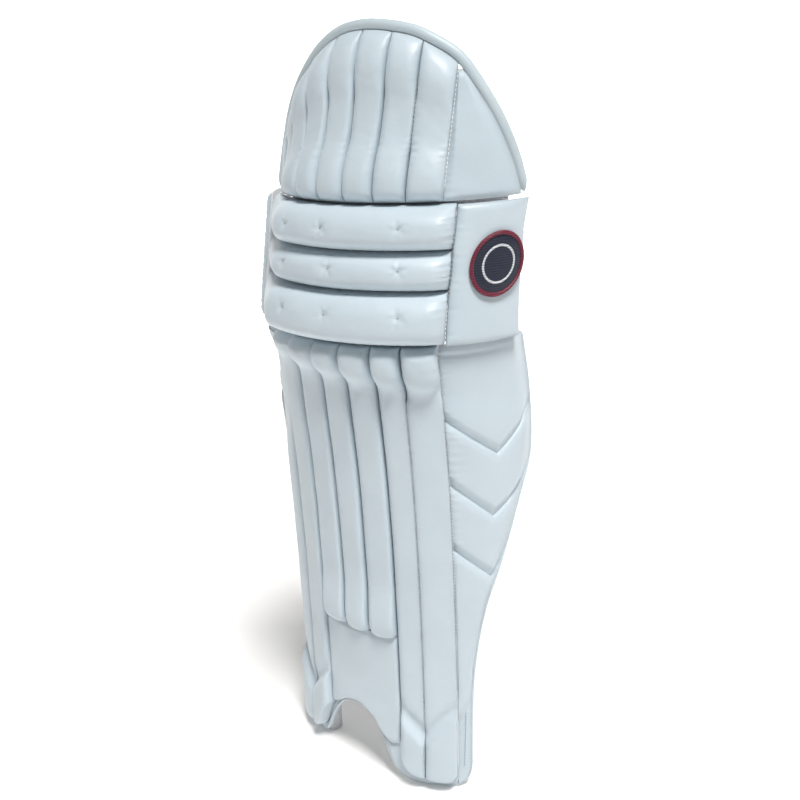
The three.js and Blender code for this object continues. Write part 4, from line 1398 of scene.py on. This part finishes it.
def disc(name, inner, outer, lift, thickness, finish, replaced=()):
    """A flat ring or disc of stitching, between two shares of the badge's outline."""
    rings, sides = 7, 72
    angle, share = np.meshgrid(np.linspace(0, 2 * math.pi, sides, endpoint=False), np.linspace(0, 1, rings))
    size = mix(inner, outer, share)
    edge = dome(2 * share - 1) if inner else dome(np.maximum(0, share * 3 - 2))
    points = []
    for h in (lift + thickness * np.maximum(edge, 0.1), lift + 0 * edge):
        s = BADGE_GIRTH + BADGE_HALF_WIDTH * size * np.cos(angle)
        z = BADGE_HEIGHT + BADGE_HALF_HEIGHT * size * np.sin(angle)
        points.append(on_pad(s, z, h).reshape(-1, 3))
    at = np.arange(rings * sides).reshape(rings, sides)
    after = np.roll(at, -1, axis=1)
    front = np.stack([at[:-1], at[1:], after[1:], after[:-1]], -1).reshape(-1, 4)
    count = rings * sides
    faces = front.tolist() + (front[:, ::-1] + count).tolist()
    rim = np.stack([at[-1], at[-1] + count, after[-1] + count, after[-1]], -1)
    faces += rim.tolist()
    if inner:
        faces += np.stack([after[0], after[0] + count, at[0] + count, at[0]], -1).tolist()
    else:
        points[0][:sides], points[1][:sides] = points[0][:sides].mean(0), points[1][:sides].mean(0)
    piece = new_mesh(name + "_sewn", np.concatenate(points), faces, sharp=60)
    piece.data.materials.append(finish)
    dress(piece, KNEE, replaced)
    return piece


# ---- gussets: the lining that carries on behind each fold ----
GUSSET_LIFT = -6.45
GUSSET_THICKNESS = 0.5


def gusset(name, low, high, left, right):
    def surface(columns, rows, h):
        s, z = np.meshgrid(np.linspace(left, right, columns), np.linspace(low, high, rows))
        return on_pad(s, z, h + 0 * s), s, z

    front, s, z = surface(81, 25, GUSSET_LIFT + GUSSET_THICKNESS / 2)
    back, s2, z2 = surface(41, 13, GUSSET_LIFT - GUSSET_THICKNESS / 2)
    piece = closed(name, front, back, sharp=70)
    write_over_pad(piece, (s, z), (s2, z2))
    piece.data.materials.append(BOARD)
    middle = (low + high) / 2
    start, end = (on_pad(0, height, GUSSET_LIFT) for height in (middle - 4, middle + 4))
    start[1] = end[1]
    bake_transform(piece)


# ---- studio ----
KEY_PLACE = (0.9, -0.42, 2.2)
KEY_STRENGTH = 3.5
SKY = 0.10
SWEEP_GLOW = 0.12


def area_light(name, place, aim, size, power, colour):
    light = bpy.data.lights.new(name, "AREA")
    light.shape, light.size, light.energy, light.color = "DISK", size, power, colour
    lamp = bpy.data.objects.new(name, light)
    bpy.context.scene.collection.objects.link(lamp)
    lamp.location = place
    direction = lamp.location - Vector(aim)
    lamp.rotation_euler = direction.to_track_quat("Z", "Y").to_euler()


def studio():
    columns, rows = np.meshgrid(np.linspace(-9, 9, 41), np.linspace(0, 1, 41))
    reach = mix(-6, 9, rows)
    climb = np.where(reach > 4, (1 - dome(np.clip((reach - 4) / 3, 0, 1))) * 3 + np.maximum(0, reach - 7), 0)
    points = np.stack([columns, np.minimum(reach, 7), climb], -1)
    turn = np.array(Matrix.Rotation(math.radians(CAMERA_AZIMUTH), 3, "Z"))
    sweep = new_mesh("studio_sweep", points.reshape(-1, 3) @ turn.T, grid_faces(41, 41))
    f = Finish("sweep_paper", roughness=0.9)
    f.finish(f.blend(f.ramp(f.noise(3), 0.3, 0.7), (0.93, 0.92, 0.91, 1), (0.90, 0.89, 0.88, 1)))
    f.shader.inputs["Emission Color"].default_value = (1.0, 1.0, 1.0, 1)
    f.shader.inputs["Emission Strength"].default_value = SWEEP_GLOW
    sweep.data.materials.append(f.material)
    middle = (0, -0.02, 0.38)
    sun = bpy.data.lights.new("key", "SUN")
    sun.energy, sun.angle, sun.color = KEY_STRENGTH, math.radians(16), (1.0, 0.99, 0.97)
    lamp = bpy.data.objects.new("key", sun)
    bpy.context.scene.collection.objects.link(lamp)
    lamp.rotation_euler = Vector(KEY_PLACE).to_track_quat("Z", "Y").to_euler()
    area_light("fill", (-1.1, -1.9, 0.25), middle, 1.2, 2, (1.0, 0.86, 0.74))
    area_light("sweep_light", (0, 3.0, 3.2), (-1.5, 5.5, 0.8), 3.0, 260, (1.0, 0.98, 0.96))
    world = bpy.data.worlds.new("studio")
    world.use_nodes = True
    sky = world.node_tree.nodes["Background"]
    sky.inputs["Color"].default_value = (0.84, 0.94, 1.0, 1)
    sky.inputs["Strength"].default_value = SKY
    bpy.context.scene.world = world
    bpy.context.scene.view_settings.view_transform = "Standard"


# ---- the pad ----
def register_skins():
    for k in range(BOLSTERS):
        shin_bolster(k)
        thigh_bolster(k)
    for k, name in enumerate(("lower", "middle", "upper")):
        knee_roll(k, name)
    calf_wing(1, OUTER_CALF_EDGE, "outer_calf_wing")
    calf_wing(-1, INNER_CALF_EDGE, "inner_calf_wing")
    knee_wing(1, OUTER_KNEE_EDGE, "outer_knee_wing")
    knee_wing(-1, INNER_KNEE_EDGE, "inner_knee_wing")
    top_wing(1, THIGH_SEAMS[7], 650, "outer_top_wing")
    top_wing(-1, -THIGH_SEAMS[0], 604, "inner_top_wing")
    instep_panel()
    shin_backing()
    plain_panel("knee_backing", KNEE, np.linspace(-108, 108, 61), KNEE_BOTTOM + 1.5,
                lambda s: KNEE_TOP - 2 + 0 * s, -BACKING, 0)
    plain_panel("thigh_backing", TOP, np.linspace(-85.5, 97.5, 61), THIGH_BOTTOM + 2,
                lambda s: top_edge(s, PIPING - 0.6), -BACKING + 1, 0)
    shin_channels = (140, 198, 256, 314, 372)
    centre_liner(shin_channels)
    liner("shin_liner_inner", SHIN, -58, -26, 84, 432, 15, shin_channels)
    liner("shin_liner_outer", SHIN, 26, 58, 84, 432, 15, shin_channels)
    liner("knee_cup_inner", KNEE, -86, -30, 454, 541, 17, (483, 512))
    liner("knee_cup_outer", KNEE, 30, 86, 454, 541, 17, (483, 512))
    ankle_pad(-1, "ankle_pad_inner", (54, 108, 162))
    ankle_pad(1, "ankle_pad_outer", (54, 108, 162))
    thigh_liner()


make_camera()
studio()
register_skins()
swell([skin for skin in SKINS if skin.swell])
for skin in SKINS:
    skin.build()
bindings()
make_straps()
mark_stitches()
for body, name in ((SHIN, "shin_stitches"), (KNEE, "knee_stitches"), (TOP, "top_stitches")):
    sew(body, name)
disc("badge", 0, 0.9, BADGE_FACE, 1.2, NAVY, ["badge"])
disc("badge_rim", 0.86, 1.0, BADGE_FACE, 1.8, MAROON)
disc("badge_ring", 0.52, 0.6, BADGE_FACE + 1.0, 0.7, PALE)
gusset("knee_gusset", 432, 452, -100, 100)
gusset("thigh_gusset", 543, 562, -84, 158)
for node_name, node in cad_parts.items():
    if "cane" in node_name:
        node.data.materials.clear()
        node.data.materials.append(CANE)
